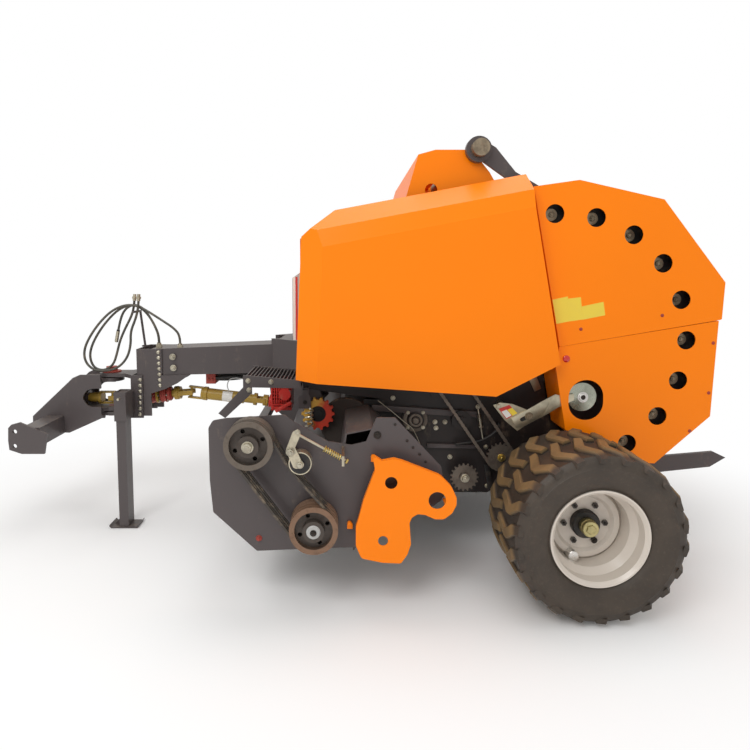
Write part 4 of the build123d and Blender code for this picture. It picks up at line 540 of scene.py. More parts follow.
@dataclass(frozen=True)
class PulleyPaint:
    """Cast pulley: a dark web inside a lighter brown rim; the rim's lighter tone is partly a painted
    highlight on its edge.
    """

    name: str
    centre: Corner
    # Rim colour: rust brown, lighter on the upper pulley as a painted highlight.
    rim: Colour
    web: Colour = linear(74, 66, 60)
    worn: Colour = linear(58, 46, 38)
    web_reach: float = 0.092
    edge: float = 0.003

    def material(self) -> bpy.types.Material:
        """Build the nodes round the pulley's x and z.

        Returns:
            The material.
        """
        graph = Graph(self.name)
        radius = graph.radius(self.centre)
        worn = graph.noise(26.0, 5.0, 0.7)
        # The rim's colour is its rust brown and, on the upper pulley, a painted highlight on its edge.
        rim_rust_and_highlight = radius.step(self.web_reach - self.edge, self.web_reach + self.edge)
        tone = graph.mix(rim_rust_and_highlight, self.web, self.rim)
        tone = graph.mix(worn.step(0.50, 0.75) * 0.45, tone, self.worn)
        return graph.principled({
            "Base Color": tone, "Roughness": worn * 0.25 + 0.35, "Metallic": worn * 0.3 + 0.15,
            "Normal": graph.bump(worn, 0.25, 0.001)})


class Finishes:
    """All finishes, each built once, by slot of the record and by name."""

    def __init__(self, axle: Corner, tread_radius: float, place: "Place") -> None:
        """Build the finishes.

        Args:
            axle: x and z of the wheels' axle.
            tread_radius: Radius of the tyres over their lugs.
            place: Turns millimetres from the axle into metres of the frame.
        """
        self.by_slot = {slot: finish.material() for slot, finish in self.slots(axle, tread_radius)}
        self.black = Plain("black_plastic", BLACK, grime=0.1).material()
        self.sticker_yellow = self.sticker("yellow", linear(232, 205, 64), 0.05)
        self.sticker_white = self.sticker("white", linear(226, 224, 218), 0.1)
        self.sticker_red = self.sticker("red", linear(196, 40, 36), 0.05)
        self.reflector = Plain("red_reflector", linear(200, 30, 24), 0.2, grime=0.0, coat=0.8).material()
        self.nut = Metal("zinc_nut", linear(196, 190, 172), 0.34, grime=0.35, rust=0.15).material()
        self.dark_nut = Metal("black_nut", linear(62, 58, 55), 0.42, 0.8, 0.4, 0.25).material()
        self.brass_nut = Metal("yellow_zinc_nut", linear(214, 190, 112), 0.32, grime=0.2).material()
        self.compartment = Paint("compartment_paint", linear(44, 38, 37), 0.45, coat=0.05, clouds=0.4,
                                 dust=0.3, scuffs=0.35).material()
        self.dusty_sheet = Paint("dusty_sheet_paint", linear(70, 62, 57), 0.62, coat=0.0, clouds=0.5,
                                 dust=0.45, scuffs=0.75).material()
        self.pulley = {
            name: PulleyPaint(f"{name}_pulley_iron", place.flat(centre), tone).material()
            # The upper pulley's lighter rim tone is a painted highlight; the lower's is rust brown.
            for name, centre, tone in (("upper", UPPER_PULLEY, linear(104, 94, 84)),
                                       ("lower", LOWER_PULLEY, linear(128, 99, 78)))}
        self.chain = Metal("oiled_chain", linear(118, 108, 98), 0.40, 0.6, 0.45, 0.2).material()
        self.clutch = ClutchPaint("clutch_paint", place.flat(CLUTCH_RING)).material()
        self.hub_zinc = Metal("olive_zinc", linear(190, 180, 130), 0.30, grime=0.35).material()
        self.disc = Metal("zinc_disc", linear(176, 180, 166), 0.24, grime=0.25, rust=0.05).material()
        self.dull_zinc = Metal("dull_zinc", linear(158, 144, 122), 0.45, 0.8, 0.5, 0.25).material()
        self.bright = Metal("bright_tube", linear(222, 220, 216), 0.25, 0.9, 0.1, 0.0).material()
        self.nut_red = Paint("rust_red_nut", linear(164, 66, 56), 0.5, coat=0.0, clouds=0.4, dust=0.3,
                             scuffs=0.4).material()

    @staticmethod
    def sticker(name: str, colour: Colour, grime: float) -> bpy.types.Material:
        """Build the finish of a blank sticker."""
        return Plain(f"blank_{name}_sticker", colour, 0.45, grime, 0.2).material()

    @staticmethod
    def slots(axle: Corner, tread_radius: float) -> tuple[tuple[Slot, object], ...]:
        """Pair each slot of the record with its finish.

        Args:
            axle: x and z of the wheels' axle.
            tread_radius: Radius of the tyres over their lugs.

        Returns:
            The pairs.
        """
        return (
            (Slot.ORANGE, Paint("orange_spray_paint", linear(255, 132, 0), coat=0.06, clouds=0.06, dust=0.04,
                                specular=0.2)),
            (Slot.GREY, Paint("warm_grey_spray_paint", linear(82, 75, 75), 0.40, coat=0.12, clouds=0.25,
                              dust=0.20, scuffs=0.20)),
            (Slot.ROLLER, Metal("rolled_steel", linear(112, 108, 104), 0.40, 0.9, 0.45, 0.15)),
            (Slot.RED, Paint("red_spray_paint", linear(196, 48, 40), 0.38, coat=0.15, clouds=0.25, dust=0.3,
                             scuffs=0.3)),
            (Slot.YELLOW, Paint("shaft_yellow_paint", linear(172, 140, 56), 0.42, coat=0.1, clouds=0.45,
                                dust=0.25, scuffs=0.45)),
            (Slot.IRON, Metal("cast_iron_worn", linear(128, 120, 112), 0.52, 0.75, 0.55, 0.5)),
            (Slot.ZINC, Metal("yellow_zinc_plate", linear(198, 190, 168), 0.30, 0.95, 0.30, 0.12)),
            (Slot.STEEL, Metal("bright_steel", linear(176, 172, 166), 0.30, 1.0, 0.4, 0.2)),
            (Slot.LIGHT_GREY, Paint("light_grey_paint", linear(178, 178, 176), 0.4, coat=0.1, dust=0.1)),
            (Slot.SHAFT, Metal("brown_forged_steel", linear(128, 100, 82), 0.45, 0.7, 0.45, 0.45)),
            (Slot.TYRE, TyreRubber("tyre_rubber", axle, tread_radius)),
            (Slot.SILVER, RimPaint("silver_rim_paint", axle)),
            (Slot.BELT, Plain("belt_rubber", linear(62, 56, 50), 0.62, 0.45)),
            (Slot.HOSE, Plain("hose_rubber", linear(72, 70, 62), 0.42, 0.25)))


class Shape:
    """Points and faces gathered from turned, swept and cut forms, made into one object."""

    def __init__(self) -> None:
        """Start with nothing."""
        self.points: list[Vector] = []
        self.faces: list[tuple[int, ...]] = []

    @staticmethod
    def basis(axis: Vector) -> tuple[Vector, Vector, Vector]:
        """Two unit vectors across an axis, and the axis itself as a unit vector.

        Args:
            axis: The axis, of any length above 0.

        Returns:
            The two vectors and the axis.
        """
        along = axis.normalized()
        guide = Vector((0, 0, 1)) if abs(along.z) < 0.9 else Vector((1, 0, 0))
        first = guide.cross(along).normalized()
        return first, along.cross(first), along

    def turned(self, base: Vector, axis: Vector, profile: Sequence[Corner], count: int = 24,
               phase: float = 0.0, closed: bool = False) -> "Shape":
        """Add a form turned about an axis.

        Args:
            base: Point on the axis from which heights are counted.
            axis: Direction of the axis.
            profile: Radius and height of each corner.
            count: Points round the axis; 6 gives a nut.
            phase: Turn of the first point, in radians.
            closed: True for a ring, whose last corner joins the first; otherwise both ends are capped.

        Returns:
            The same shape.
        """
        first, second, along = self.basis(axis)
        start = len(self.points)
        for radius, height in profile:
            for i in range(count):
                angle = phase + 2 * math.pi * i / count
                across = first * math.cos(angle) + second * math.sin(angle)
                self.points.append(base + across * radius + along * height)
        rows = len(profile)
        for row in range(rows if closed else rows - 1):
            low, high = start + row * count, start + (row + 1) % rows * count
            for i in range(count):
                j = (i + 1) % count
                self.faces.append((low + i, low + j, high + j, high + i))
        if not closed:
            last = start + (rows - 1) * count
            self.faces.append(tuple(start + i for i in reversed(range(count))))
            self.faces.append(tuple(last + i for i in range(count)))
        return self

    def rod(self, start: Vector, end: Vector, radius: float, count: int = 16) -> "Shape":
        """Add a round bar with slightly chamfered ends.

        Args:
            start: Middle of one end.
            end: Middle of the other end.
            radius: Radius of the bar.
            count: Corners round it.

        Returns:
            The same shape.
        """
        length = (end - start).length
        edge = min(radius * 0.12, length * 0.2)
        profile = [(radius - edge, 0.0), (radius, edge), (radius, length - edge),
                   (radius - edge, length)]
        return self.turned(start, end - start, profile, count)

    def ring(self, base: Vector, axis: Vector, inner: float, outer: float, height: float,
             count: int = 32) -> "Shape":
        """Add a flat ring with chamfered outer edges.

        Args:
            base: Middle of its foot.
            axis: Direction that the piece stands in.
            inner: Radius of the hole.
            outer: Radius of the rim.
            height: How far it stands up.
            count: Corners round it.

        Returns:
            The same shape.
        """
        edge = min((outer - inner) * 0.2, height * 0.3)
        profile = [(inner, 0.0), (outer - edge, 0.0), (outer, edge), (outer, height - edge),
                   (outer - edge, height), (inner, height)]
        return self.turned(base, axis, profile, count, closed=True)

    def nut(self, base: Vector, axis: Vector, radius: float, height: float,
            phase: float = 0.0) -> "Shape":
        """Add a hexagon with chamfered corners.

        Args:
            base: Middle of its foot.
            axis: Direction that the piece stands in.
            radius: Radius over the corners.
            height: How far it stands up.
            phase: Turn of the corners in radians.

        Returns:
            The same shape.
        """
        edge = radius * 0.12
        profile = [(radius, 0.0), (radius, height - edge), (radius - edge, height)]
        return self.turned(base, axis, profile, 6, phase)

    def bolt(self, base: Vector, axis: Vector, radius: float, stud: float, phase: float = 0.3) -> "Shape":
        """Add a washer, a hexagon and a thread's end.

        Args:
            base: Point on the face that the bolt sits on.
            axis: Direction that the head looks.
            radius: Radius over the hexagon's corners.
            stud: How far the thread stands out of the hexagon.
            phase: Turn of the hexagon.

        Returns:
            The same shape.
        """
        along = axis.normalized()
        washer, head = radius * 0.18, radius * 0.72
        self.ring(base, axis, radius * 0.45, radius * 1.22, washer, 18)
        self.nut(base + along * washer, axis, radius, head, phase)
        top = base + along * (washer + head)
        return self.rod(top, top + along * stud, radius * 0.48, 12)

    def swept(self, path: Sequence[Vector], radius: float, sides: int = 8) -> "Shape":
        """Add a round wire along a path.

        Args:
            path: Points of the centreline.
            radius: Radius of the wire.
            sides: Points round the wire.

        Returns:
            The same shape.
        """
        start, count = len(self.points), len(path)
        previous = None
        for i, point in enumerate(path):
            along = (path[min(i + 1, count - 1)] - path[max(i - 1, 0)]).normalized()
            if previous is None:
                first = self.basis(along)[0]
            else:
                first = (previous - along * previous.dot(along)).normalized()
            previous = first
            second = along.cross(first)
            for k in range(sides):
                angle = 2 * math.pi * k / sides
                self.points.append(point + (first * math.cos(angle) + second * math.sin(angle)) * radius)
        for i in range(count - 1):
            low, high = start + i * sides, start + (i + 1) * sides
            for k in range(sides):
                m = (k + 1) % sides
                self.faces.append((low + k, low + m, high + m, high + k))
        last = start + (count - 1) * sides
        self.faces.append(tuple(start + k for k in reversed(range(sides))))
        self.faces.append(tuple(last + k for k in range(sides)))
        return self

    def spring(self, start: Vector, end: Vector, radius: float, wire: float, turns: float) -> "Shape":
        """Add a coil spring between two points.

        Args:
            start: Middle of one end.
            end: Middle of the other end.
            radius: Radius of the coil at the wire's middle.
            wire: Radius of the wire.
            turns: Number of turns.

        Returns:
            The same shape.
        """
        first, second, _ = self.basis(end - start)
        steps = int(turns * 14)
        path = []
        for i in range(steps + 1):
            share = i / steps
            angle = 2 * math.pi * turns * share
            across = first * math.cos(angle) + second * math.sin(angle)
            path.append(start.lerp(end, share) + across * radius)
        return self.swept(path, wire, 6)

    def prism(self, outline: Sequence[Vector], depth: Vector) -> "Shape":
        """Add a plate from its outline and the vector through its thickness.

        Args:
            outline: Corners of one face.
            depth: Vector through the thickness.

        Returns:
            The same shape.
        """
        start, count = len(self.points), len(outline)
        self.points += [point.copy() for point in outline]
        self.points += [point + depth for point in outline]
        self.faces.append(tuple(start + i for i in reversed(range(count))))
        self.faces.append(tuple(start + count + i for i in range(count)))
        for i in range(count):
            j = (i + 1) % count
            self.faces.append((start + i, start + j, start + count + j, start + count + i))
        return self

    def box(self, low: Vector, high: Vector) -> "Shape":
        """Add an upright box between two corners."""
        outline = [Vector((low.x, low.y, low.z)), Vector((high.x, low.y, low.z)),
                   Vector((high.x, high.y, low.z)), Vector((low.x, high.y, low.z))]
        return self.prism(outline, Vector((0, 0, high.z - low.z)))

    def mirrored(self) -> "Shape":
        """Add the mirror image of everything so far on the machine's other side.

        Returns:
            The same shape.
        """
        start = len(self.points)
        self.points += [Vector((p.x, -p.y, p.z)) for p in self.points]
        self.faces += [tuple(start + i for i in reversed(face)) for face in self.faces]
        return self

    def piece(self, name: str, material: bpy.types.Material, body: Body, slot: Slot | None = None,
              bevel: float = 0.0, smooth: float = 35.0) -> bpy.types.Object:
        """Make the object and let it ride on its body.

        Args:
            name: Object's name.
            material: Its finish.
            body: Body that it moves with.
            slot: Record's slot that it shares, if any; not used.
            bevel: Width of rounded edges in metres, or 0.
            smooth: Edges flatter than this many degrees are smooth.

        Returns:
            The new object.
        """
        mesh = bpy.data.meshes.new(name)
        mesh.from_pydata([tuple(point) for point in self.points], [], self.faces)
        mesh.update()
        obj = bpy.data.objects.new(name, mesh)
        bpy.context.scene.collection.objects.link(obj)
        mesh.materials.append(material)
        fix_normals(mesh)
        if bevel > 0:
            rounding = obj.modifiers.new("edges", "BEVEL")
            rounding.width = bevel
            rounding.segments = 2
            rounding.limit_method = "ANGLE"
            apply_modifiers(obj)
        smooth_by_angle(obj.data, smooth)
        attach(obj, body.value)
        LOG.info("%s rides on %s, %d faces", name, body.value, len(obj.data.polygons))
        return obj


def fix_normals(mesh: bpy.types.Mesh) -> None:
    """Turn all faces of a mesh outwards.

    Args:
        mesh: The mesh that is changed.
    """
    work = bmesh.new()
    work.from_mesh(mesh)
    bmesh.ops.recalc_face_normals(work, faces=work.faces)
    work.to_mesh(mesh)
    work.free()


def apply_modifiers(obj: bpy.types.Object) -> None:
    """Replace an object's mesh by what its modifiers make of it.

    Args:
        obj: The object whose mesh is replaced.
    """
    graph = bpy.context.evaluated_depsgraph_get()
    result = bpy.data.meshes.new_from_object(obj.evaluated_get(graph))
    obj.modifiers.clear()
    obj.data = result


def smooth_by_angle(mesh: bpy.types.Mesh, degrees: float) -> None:
    """Shade a mesh smooth except at edges sharper than an angle."""
    mesh.shade_smooth()
    mesh.set_sharp_from_angle(angle=math.radians(degrees))


LEFT = Vector((0, -1, 0))
RIGHT = Vector((0, 1, 0))
UP = Vector((0, 0, 1))


@dataclass(frozen=True)
class Place:
    """Turns millimetres from the wheel axle into the machine's frame in metres."""

    axle_x: float

    def __call__(self, x: float, y: float, z: float) -> Vector:
        """Point from millimetres behind the axle, to the right and above the ground."""
        return Vector((self.axle_x + x / 1000, y / 1000, z / 1000))

    def line(self, corners: Sequence[Corner], y: float) -> list[Vector]:
        """Points from their x and z at one y."""
        return [self(x, y, z) for x, z in corners]

    def flat(self, corner: Corner) -> Corner:
        """The x and z of a point in metres."""
        return self.axle_x + corner[0] / 1000, corner[1] / 1000


def metres(profile: Sequence[Corner]) -> list[Corner]:
    """A profile in millimetres as metres."""
    return [(radius / 1000, height / 1000) for radius, height in profile]


@dataclass(frozen=True)
class Lamp:
    """Square area lamp: where it hangs, what it looks at, its side in metres and its power in watts."""

    name: str
    place: Triple
    target: Triple
    size: float
    power: float

    def build(self) -> None:
        """Hang the lamp."""
        data = bpy.data.lights.new(self.name, "AREA")
        data.size = self.size
        data.energy = self.power
        lamp = bpy.data.objects.new(self.name, data)
        lamp.location = self.place
        look = Vector(self.target) - Vector(self.place)
        lamp.rotation_euler = look.to_track_quat("-Z", "Y").to_euler()
        bpy.context.scene.collection.objects.link(lamp)


@dataclass(frozen=True)
class Studio:
    """Pale floor, soft light and the camera at the photograph's place; sizes in metres."""

    eye: Triple = (-0.089, -3.9346, 1.653)
    pitch_down: float = 4.865
    focal_pixels: float = 567.8
    shift: Corner = (0.0428, -0.0672)
    sensor: float = 36.0
    view_reach: float = 200.0
    lamps: tuple[Lamp, ...] = (Lamp("key_light", (-2.4, -5.2, 5.6), (0.2, 0.0, 0.9), 3.2, 160.0),
                               Lamp("top_light", (0.6, 0.4, 6.5), (0.0, 0.0, 1.0), 4.5, 120.0))
    sky: Colour = (1.0, 0.985, 0.965)
    sky_strength: float = 0.72
    floor_size: float = 60.0
    floor_drop: float = 0.0015
    floor_tone: float = 0.93
    floor_spread: Corner = (6.5, 3.2)
    floor_fade: Corner = (0.75, 1.5)

    def build(self) -> None:
        """Make the camera, the world, the lamps and the floor."""
        self.camera()
        self.world()
        for lamp in self.lamps:
            lamp.build()
        self.floor()

    def camera(self) -> None:
        """Make the camera."""
        data = bpy.data.cameras.new("camera")
        data.sensor_width = self.sensor
        data.lens = self.focal_pixels / PHOTO_PIXELS * data.sensor_width
        data.shift_x, data.shift_y = self.shift
        data.clip_end = self.view_reach
        camera = bpy.data.objects.new("camera", data)
        camera.location = self.eye
        camera.rotation_euler = (math.radians(90 - self.pitch_down), 0.0, 0.0)
        bpy.context.scene.collection.objects.link(camera)
        bpy.context.scene.camera = camera

    def world(self) -> None:
        """White where the camera sees it and soft grey where it lights the machine."""
        world = bpy.data.worlds.new("studio")
        bpy.context.scene.world = world
        world.use_nodes = True
        tree = world.node_tree
        tree.nodes.clear()
        path = tree.nodes.new("ShaderNodeLightPath")
        seen = tree.nodes.new("ShaderNodeMath")
        seen.operation = "MAXIMUM"
        tree.links.new(path.outputs["Is Camera Ray"], seen.inputs[0])
        tree.links.new(path.outputs["Is Transmission Ray"], seen.inputs[1])
        light, backdrop = (tree.nodes.new("ShaderNodeBackground") for _ in range(2))
        light.inputs["Color"].default_value = (*self.sky, 1.0)
        light.inputs["Strength"].default_value = self.sky_strength
        backdrop.inputs["Color"].default_value = (*WHITE, 1.0)
        mix, out = tree.nodes.new("ShaderNodeMixShader"), tree.nodes.new("ShaderNodeOutputWorld")
        tree.links.new(seen.outputs[0], mix.inputs[0])
        tree.links.new(light.outputs[0], mix.inputs[1])
        tree.links.new(backdrop.outputs[0], mix.inputs[2])
        tree.links.new(mix.outputs[0], out.inputs["Surface"])

    def floor(self) -> None:
        """Make the pale floor, which turns to plain white away from the machine."""
        half = self.floor_size / 2
        corners = [(-half, -half, 0), (half, -half, 0), (half, half, 0), (-half, half, 0)]
        mesh = bpy.data.meshes.new("floor")
        mesh.from_pydata(corners, [], [(0, 1, 2, 3)])
        floor = bpy.data.objects.new("floor", mesh)
        floor.location.z = -self.floor_drop
        bpy.context.scene.collection.objects.link(floor)
        graph = Graph("pale_floor")
        x, y, _ = graph.axes(graph.place())
        reach = ((x * x) / self.floor_spread[0] + (y * y) / self.floor_spread[1]) ** 0.5
        pale = graph.node("ShaderNodeBsdfDiffuse", inputs={"Color": (self.floor_tone,) * 3})
        white = graph.node("ShaderNodeEmission", inputs={"Color": WHITE, "Strength": 1.0})
        camera_ray = graph.node("ShaderNodeLightPath", output="Is Camera Ray")
        share = reach.step(*self.floor_fade) * camera_ray
        graph.close(graph.node("ShaderNodeMixShader", inputs={0: share, 1: pale, 2: white}))
        mesh.materials.append(graph.material)


@dataclass
class Tyre:
    """Carcass and lugs of one tyre, in place of its plain solid; sizes in metres.

    The steps of the side wall and the lug's bends are tables of pairs: bead_steps and flank_steps hold
    the rise over the bead and the distance along or inside the width, wall_steps hold the radius and the
    distance inside the width, and lug_bends hold the turn in radians and the share of the half width.
    """

    node: str
    body: Body
    lugs: int = 22
    lug_depth: float = 0.021
    bead_radius: float = 0.222
    bead_depth: float = 0.042
    round_count: int = 132
    bead_steps: tuple[Corner, ...] = ((0.0, 0.0), (0.012, 0.006), (0.020, 0.003), (0.030, 0.014))
    flank_steps: tuple[Corner, ...] = ((0.050, 0.014), (0.078, 0.004))
    wall_steps: tuple[Corner, ...] = ((0.325, 0.0), (0.342, 0.001), (0.345, -0.001), (0.352, -0.001),
                                      (0.355, 0.002), (0.372, 0.006), (0.388, 0.013))
    tread_shares: tuple[float, ...] = (0.88, 0.72, 0.55, 0.36, 0.18, 0.0)
    lug_bends: tuple[Corner, ...] = ((-0.132, 0.985), (-0.100, 0.80), (0.022, 0.52), (0.028, 0.44),
                                     (-0.045, 0.08), (-0.059, -0.03))
    lug_widths: tuple[float, ...] = (0.050, 0.049, 0.046, 0.046, 0.040, 0.038)
    lug_slope: float = 0.004
    shoulder: float = 0.66
    shoulder_drop: float = 0.026
    shoulder_run: float = 0.1056
    outer_share: float = 0.95
    outer_drop: float = 0.024

    def __post_init__(self) -> None:
        """Measure the solid that the tyre replaces."""
        low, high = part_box(self.node)
        self.centre = (low + high) / 2
        self.radius = (high.z - low.z) / 2
        self.half_width = (high.y - low.y) / 2

    def crown(self, share: float) -> float:
        """Radius of the carcass at a share of the half width from its middle."""
        return self.radius - self.lug_depth - 0.006 * share ** 2 + 0.004 * max(0.0, share - 0.60) / 0.40

    def profile(self) -> list[Corner]:
        """Radius and y of the carcass, from the inner bead over the tread to the outer bead.

        Returns:
            The corners of the section.
        """
        half = self.half_width
        bead_y = half - self.bead_depth
        wall = [(self.bead_radius + rise, bead_y + out) for rise, out in self.bead_steps]
        wall += [(self.bead_radius + rise, half - inside) for rise, inside in self.flank_steps]
        wall += [(radius, half - inside) for radius, inside in self.wall_steps]
        right = wall + [(self.crown(share), half * share) for share in self.tread_shares]
        return [(radius, -y) for radius, y in right] + [(radius, y) for radius, y in reversed(right[:-1])]

    def add_lug(self, shape: Shape, turn: float, side: float) -> None:
        """Add one bent lug with sloping flanks.

        Args:
            shape: Shape to add it to.
            turn: Angle of the lug round the tyre.
            side: 1 for the half at larger y, -1 for the other.
        """
        half = self.half_width
        line = [(angle, side * half * share) for angle, share in self.lug_bends]
        start = len(shape.points)
        for i, (angle, y) in enumerate(line):
            before, after = line[max(i - 1, 0)], line[min(i + 1, len(line) - 1)]
            run = Vector(((after[0] - before[0]) * self.radius, after[1] - before[1]))
            across = Vector((-run.y, run.x)).normalized()
            share = min(1.0, abs(y) / half)
            bulge = max(0.0, share - self.shoulder) ** 2 / self.shoulder_run
            top = self.radius - 0.001 - self.shoulder_drop * bulge
            foot = self.crown(min(share, 0.98)) - self.lug_slope
            if share > self.outer_share:
                foot -= self.outer_drop
            for reach, radius in ((-0.66, foot), (-0.52, top - self.lug_slope), (-0.45, top), (0.45, top),
                                  (0.52, top - self.lug_slope), (0.66, foot)):
                sideways = across * reach * self.lug_widths[i]
                bend = turn + angle + sideways.x / self.radius
                offset = min(half, max(-half, y + sideways.y))
                shape.points.append(
                    self.centre + Vector((radius * math.cos(bend), offset, radius * math.sin(bend))))
        rows, count = len(line), 6
        for row in range(rows - 1):
            low, high = start + row * count, start + (row + 1) * count
            for k in range(count - 1):
                shape.faces.append((low + k, low + k + 1, high + k + 1, high + k))
            shape.faces.append((low + count - 1, low, high, high + count - 1))
        shape.faces.append(tuple(start + k for k in range(count)))
        last = start + (rows - 1) * count
        shape.faces.append(tuple(last + k for k in reversed(range(count))))

    def build(self, finishes: Finishes) -> None:
        """Make the tyre and let it replace its solid.

        Args:
            finishes: The materials of the pieces.
        """
        shape = Shape()
        shape.turned(self.centre, RIGHT, self.profile(), self.round_count, closed=True)
        pitch = 2 * math.pi / self.lugs
        for number in range(self.lugs):
            for side in (1.0, -1.0):
                self.add_lug(shape, pitch * (number + self.phase(side)), side)
        tyre = shape.piece(self.node + "_dressed", finishes.by_slot[Slot.TYRE], self.body, Slot.TYRE,
                           smooth=40.0)
        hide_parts(self.node)

    def phase(self, side: float) -> float:
        """Share of a pitch by which one half's lugs are turned, mirrored between the two tyres."""
        outer = side * self.centre.y > 0
        return 0.0 if outer else 0.5


def smooth_path(points: Sequence[Vector], steps: int = 6) -> list[Vector]:
    """Points on a curve that passes through all given points.

    Args:
        points: Points that it passes through.
        steps: Steps between two of them.

    Returns:
        The points of the curve.
    """
    ends = [points[0] * 2 - points[1], *points, points[-1] * 2 - points[-2]]
    path = []
    for i in range(1, len(ends) - 2):
        a, b, c, d = ends[i - 1:i + 3]
        for k in range(steps):
            t = k / steps
            path.append(0.5 * (b * 2 + (c - a) * t + (a * 2 - b * 5 + c * 4 - d) * t ** 2
                               + (b * 3 - a - c * 3 + d) * t ** 3))
    return [*path, points[-1].copy()]


@dataclass(frozen=True)
class SubAssembly:
    """Group of pieces that share the machine's places and finishes."""

    place: Place
    finishes: Finishes


@dataclass(frozen=True)
class Hose:
    """One hose: its solid, its length in metres, its far end and its route in mm from the axle."""

    node: str
    length: float
    far_end: str
    route: tuple[Triple, ...]


@dataclass(frozen=True)
class HoseLoops(SubAssembly):
    """Three hydraulic hoses that rise from the beam, loop round ahead of the pivot and hang over a bar."""

    diameter: float = 0.016
    hoses: tuple[Hose, ...] = (
        Hose("hose_outer", 1.744, "connector", (
            (-2322, -70, 1195), (-2322, -70, 1250), (-2362, -70, 1300), (-2440, -70, 1352),
            (-2520, -71, 1405), (-2600, -72, 1452), (-2680, -74, 1462), (-2775, -77, 1425),
            (-2860, -80, 1345), (-2930, -83, 1250), (-2976, -85, 1155), (-2972, -85, 1070),
            (-2915, -86, 1012), (-2832, -87, 1006), (-2745, -88, 1028), (-2680, -90, 1095),
            (-2652, -92, 1185), (-2650, -94, 1280), (-2614, -96, 1360), (-2592, -98, 1435),
            (-2588, -99, 1487))),
        Hose("hose_inner", 1.520, "connector", (
            (-2473, -45, 1195), (-2473, -45, 1240), (-2495, -45, 1305), (-2535, -45, 1380),
            (-2590, -46, 1440), (-2662, -47, 1461), (-2745, -49, 1428), (-2825, -51, 1350),
            (-2895, -54, 1255), (-2942, -56, 1160), (-2950, -57, 1085), (-2920, -57, 1020),
            (-2850, -56, 1004), (-2790, -54, 1045), (-2765, -51, 1120), (-2743, -47, 1210),
            (-2706, -42, 1295), (-2664, -36, 1375), (-2646, -31, 1435), (-2642, -28, 1485))),
        Hose("hose_short", 0.554, "plug", (
            (-2487, -8, 1195), (-2487, -8, 1240), (-2510, -8, 1305), (-2545, -8, 1372), (-2588, -9, 1434),
            (-2650, -10, 1461), (-2712, -12, 1431), (-2748, -14, 1360), (-2764, -15, 1280))))
    sleeve: tuple[Corner, ...] = ((10.0, 0.0), (11.2, 4.0), (11.2, 70.0), (10.5, 86.0))
    sleeve_run: Triple = (-0.18, -0.011, -0.98)

    def build(self) -> None:
        """Make each hose as a spline on its route's points, and the short one's plug sleeve."""
        for hose in self.hoses:
            points = [self.place(*point) for point in hose.route]
            obj = self.rubber(hose.node + "_rubber", points, self.finishes.by_slot[Slot.HOSE])
            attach(obj, Body.CHASSIS.value)
            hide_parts(hose.node)
            LOG.info("%s is %.2f m long", hose.node, hose.length)
        top, run = self.place(*self.hoses[-1].route[-1]), Vector(self.sleeve_run).normalized()
        Shape().turned(top - run * 0.004, run, metres(self.sleeve), 20).piece(
            "plug_sleeve", self.finishes.black, Body.CHASSIS, Slot.HOSE)

    def rubber(self, name: str, points: Sequence[Vector], finish: bpy.types.Material) -> bpy.types.Object:
        """Make the curve of one hose.

        Args:
            name: Name of the curve and its object.
            points: Control points of its route.
            finish: Its material.

        Returns:
            The object.
        """
        curve = bpy.data.curves.new(name, "CURVE")
        curve.dimensions = "3D"
        curve.bevel_depth = self.diameter / 2
        curve.bevel_resolution = 5
        curve.resolution_u = 10
        curve.use_fill_caps = True
        spline = curve.splines.new("NURBS")
        spline.points.add(len(points) - 1)
        for control, point in zip(spline.points, points):
            control.co = (*point, 1.0)
        spline.order_u = 3
        spline.use_endpoint_u = True
        curve.materials.append(finish)
        obj = bpy.data.objects.new(name, curve)
        bpy.context.scene.collection.objects.link(obj)
        return obj


@dataclass(frozen=True)
class CadDressing:
    """Finishes on the machine's own solids."""

    finishes: Finishes
    edge_degrees: float = 30.0

    def special(self) -> dict[str, bpy.types.Material]:
        """Finishes of the solids that differ from their slot."""
        made = self.finishes
        return {"chamber_wall_left": made.compartment, "chamber_wall_right": made.compartment,
                "drive_shaft": made.clutch, "lower_pulley": made.pulley["lower"],
                "upper_pulley": made.pulley["upper"], "hinge_shaft": made.dull_zinc,
                "side_discs": made.disc, "chain_sprockets": made.chain, "roller_chain": made.chain,
                "pivot_pins": made.nut_red}

    def build(self, frame: dict) -> None:
        """Give each solid its finish.

        Args:
            frame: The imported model.
        """
        special = self.special()
        for part in frame["record"]["subparts"]:
            name = part["node"]
            mesh = frame["nodes"][name].data
            mesh.materials.clear()
            mesh.materials.append(special.get(name, self.finishes.by_slot[Slot(part["material_slot"])]))
            smooth_by_angle(mesh, self.edge_degrees)
            LOG.info("%s takes %s", name, mesh.materials[0].name)


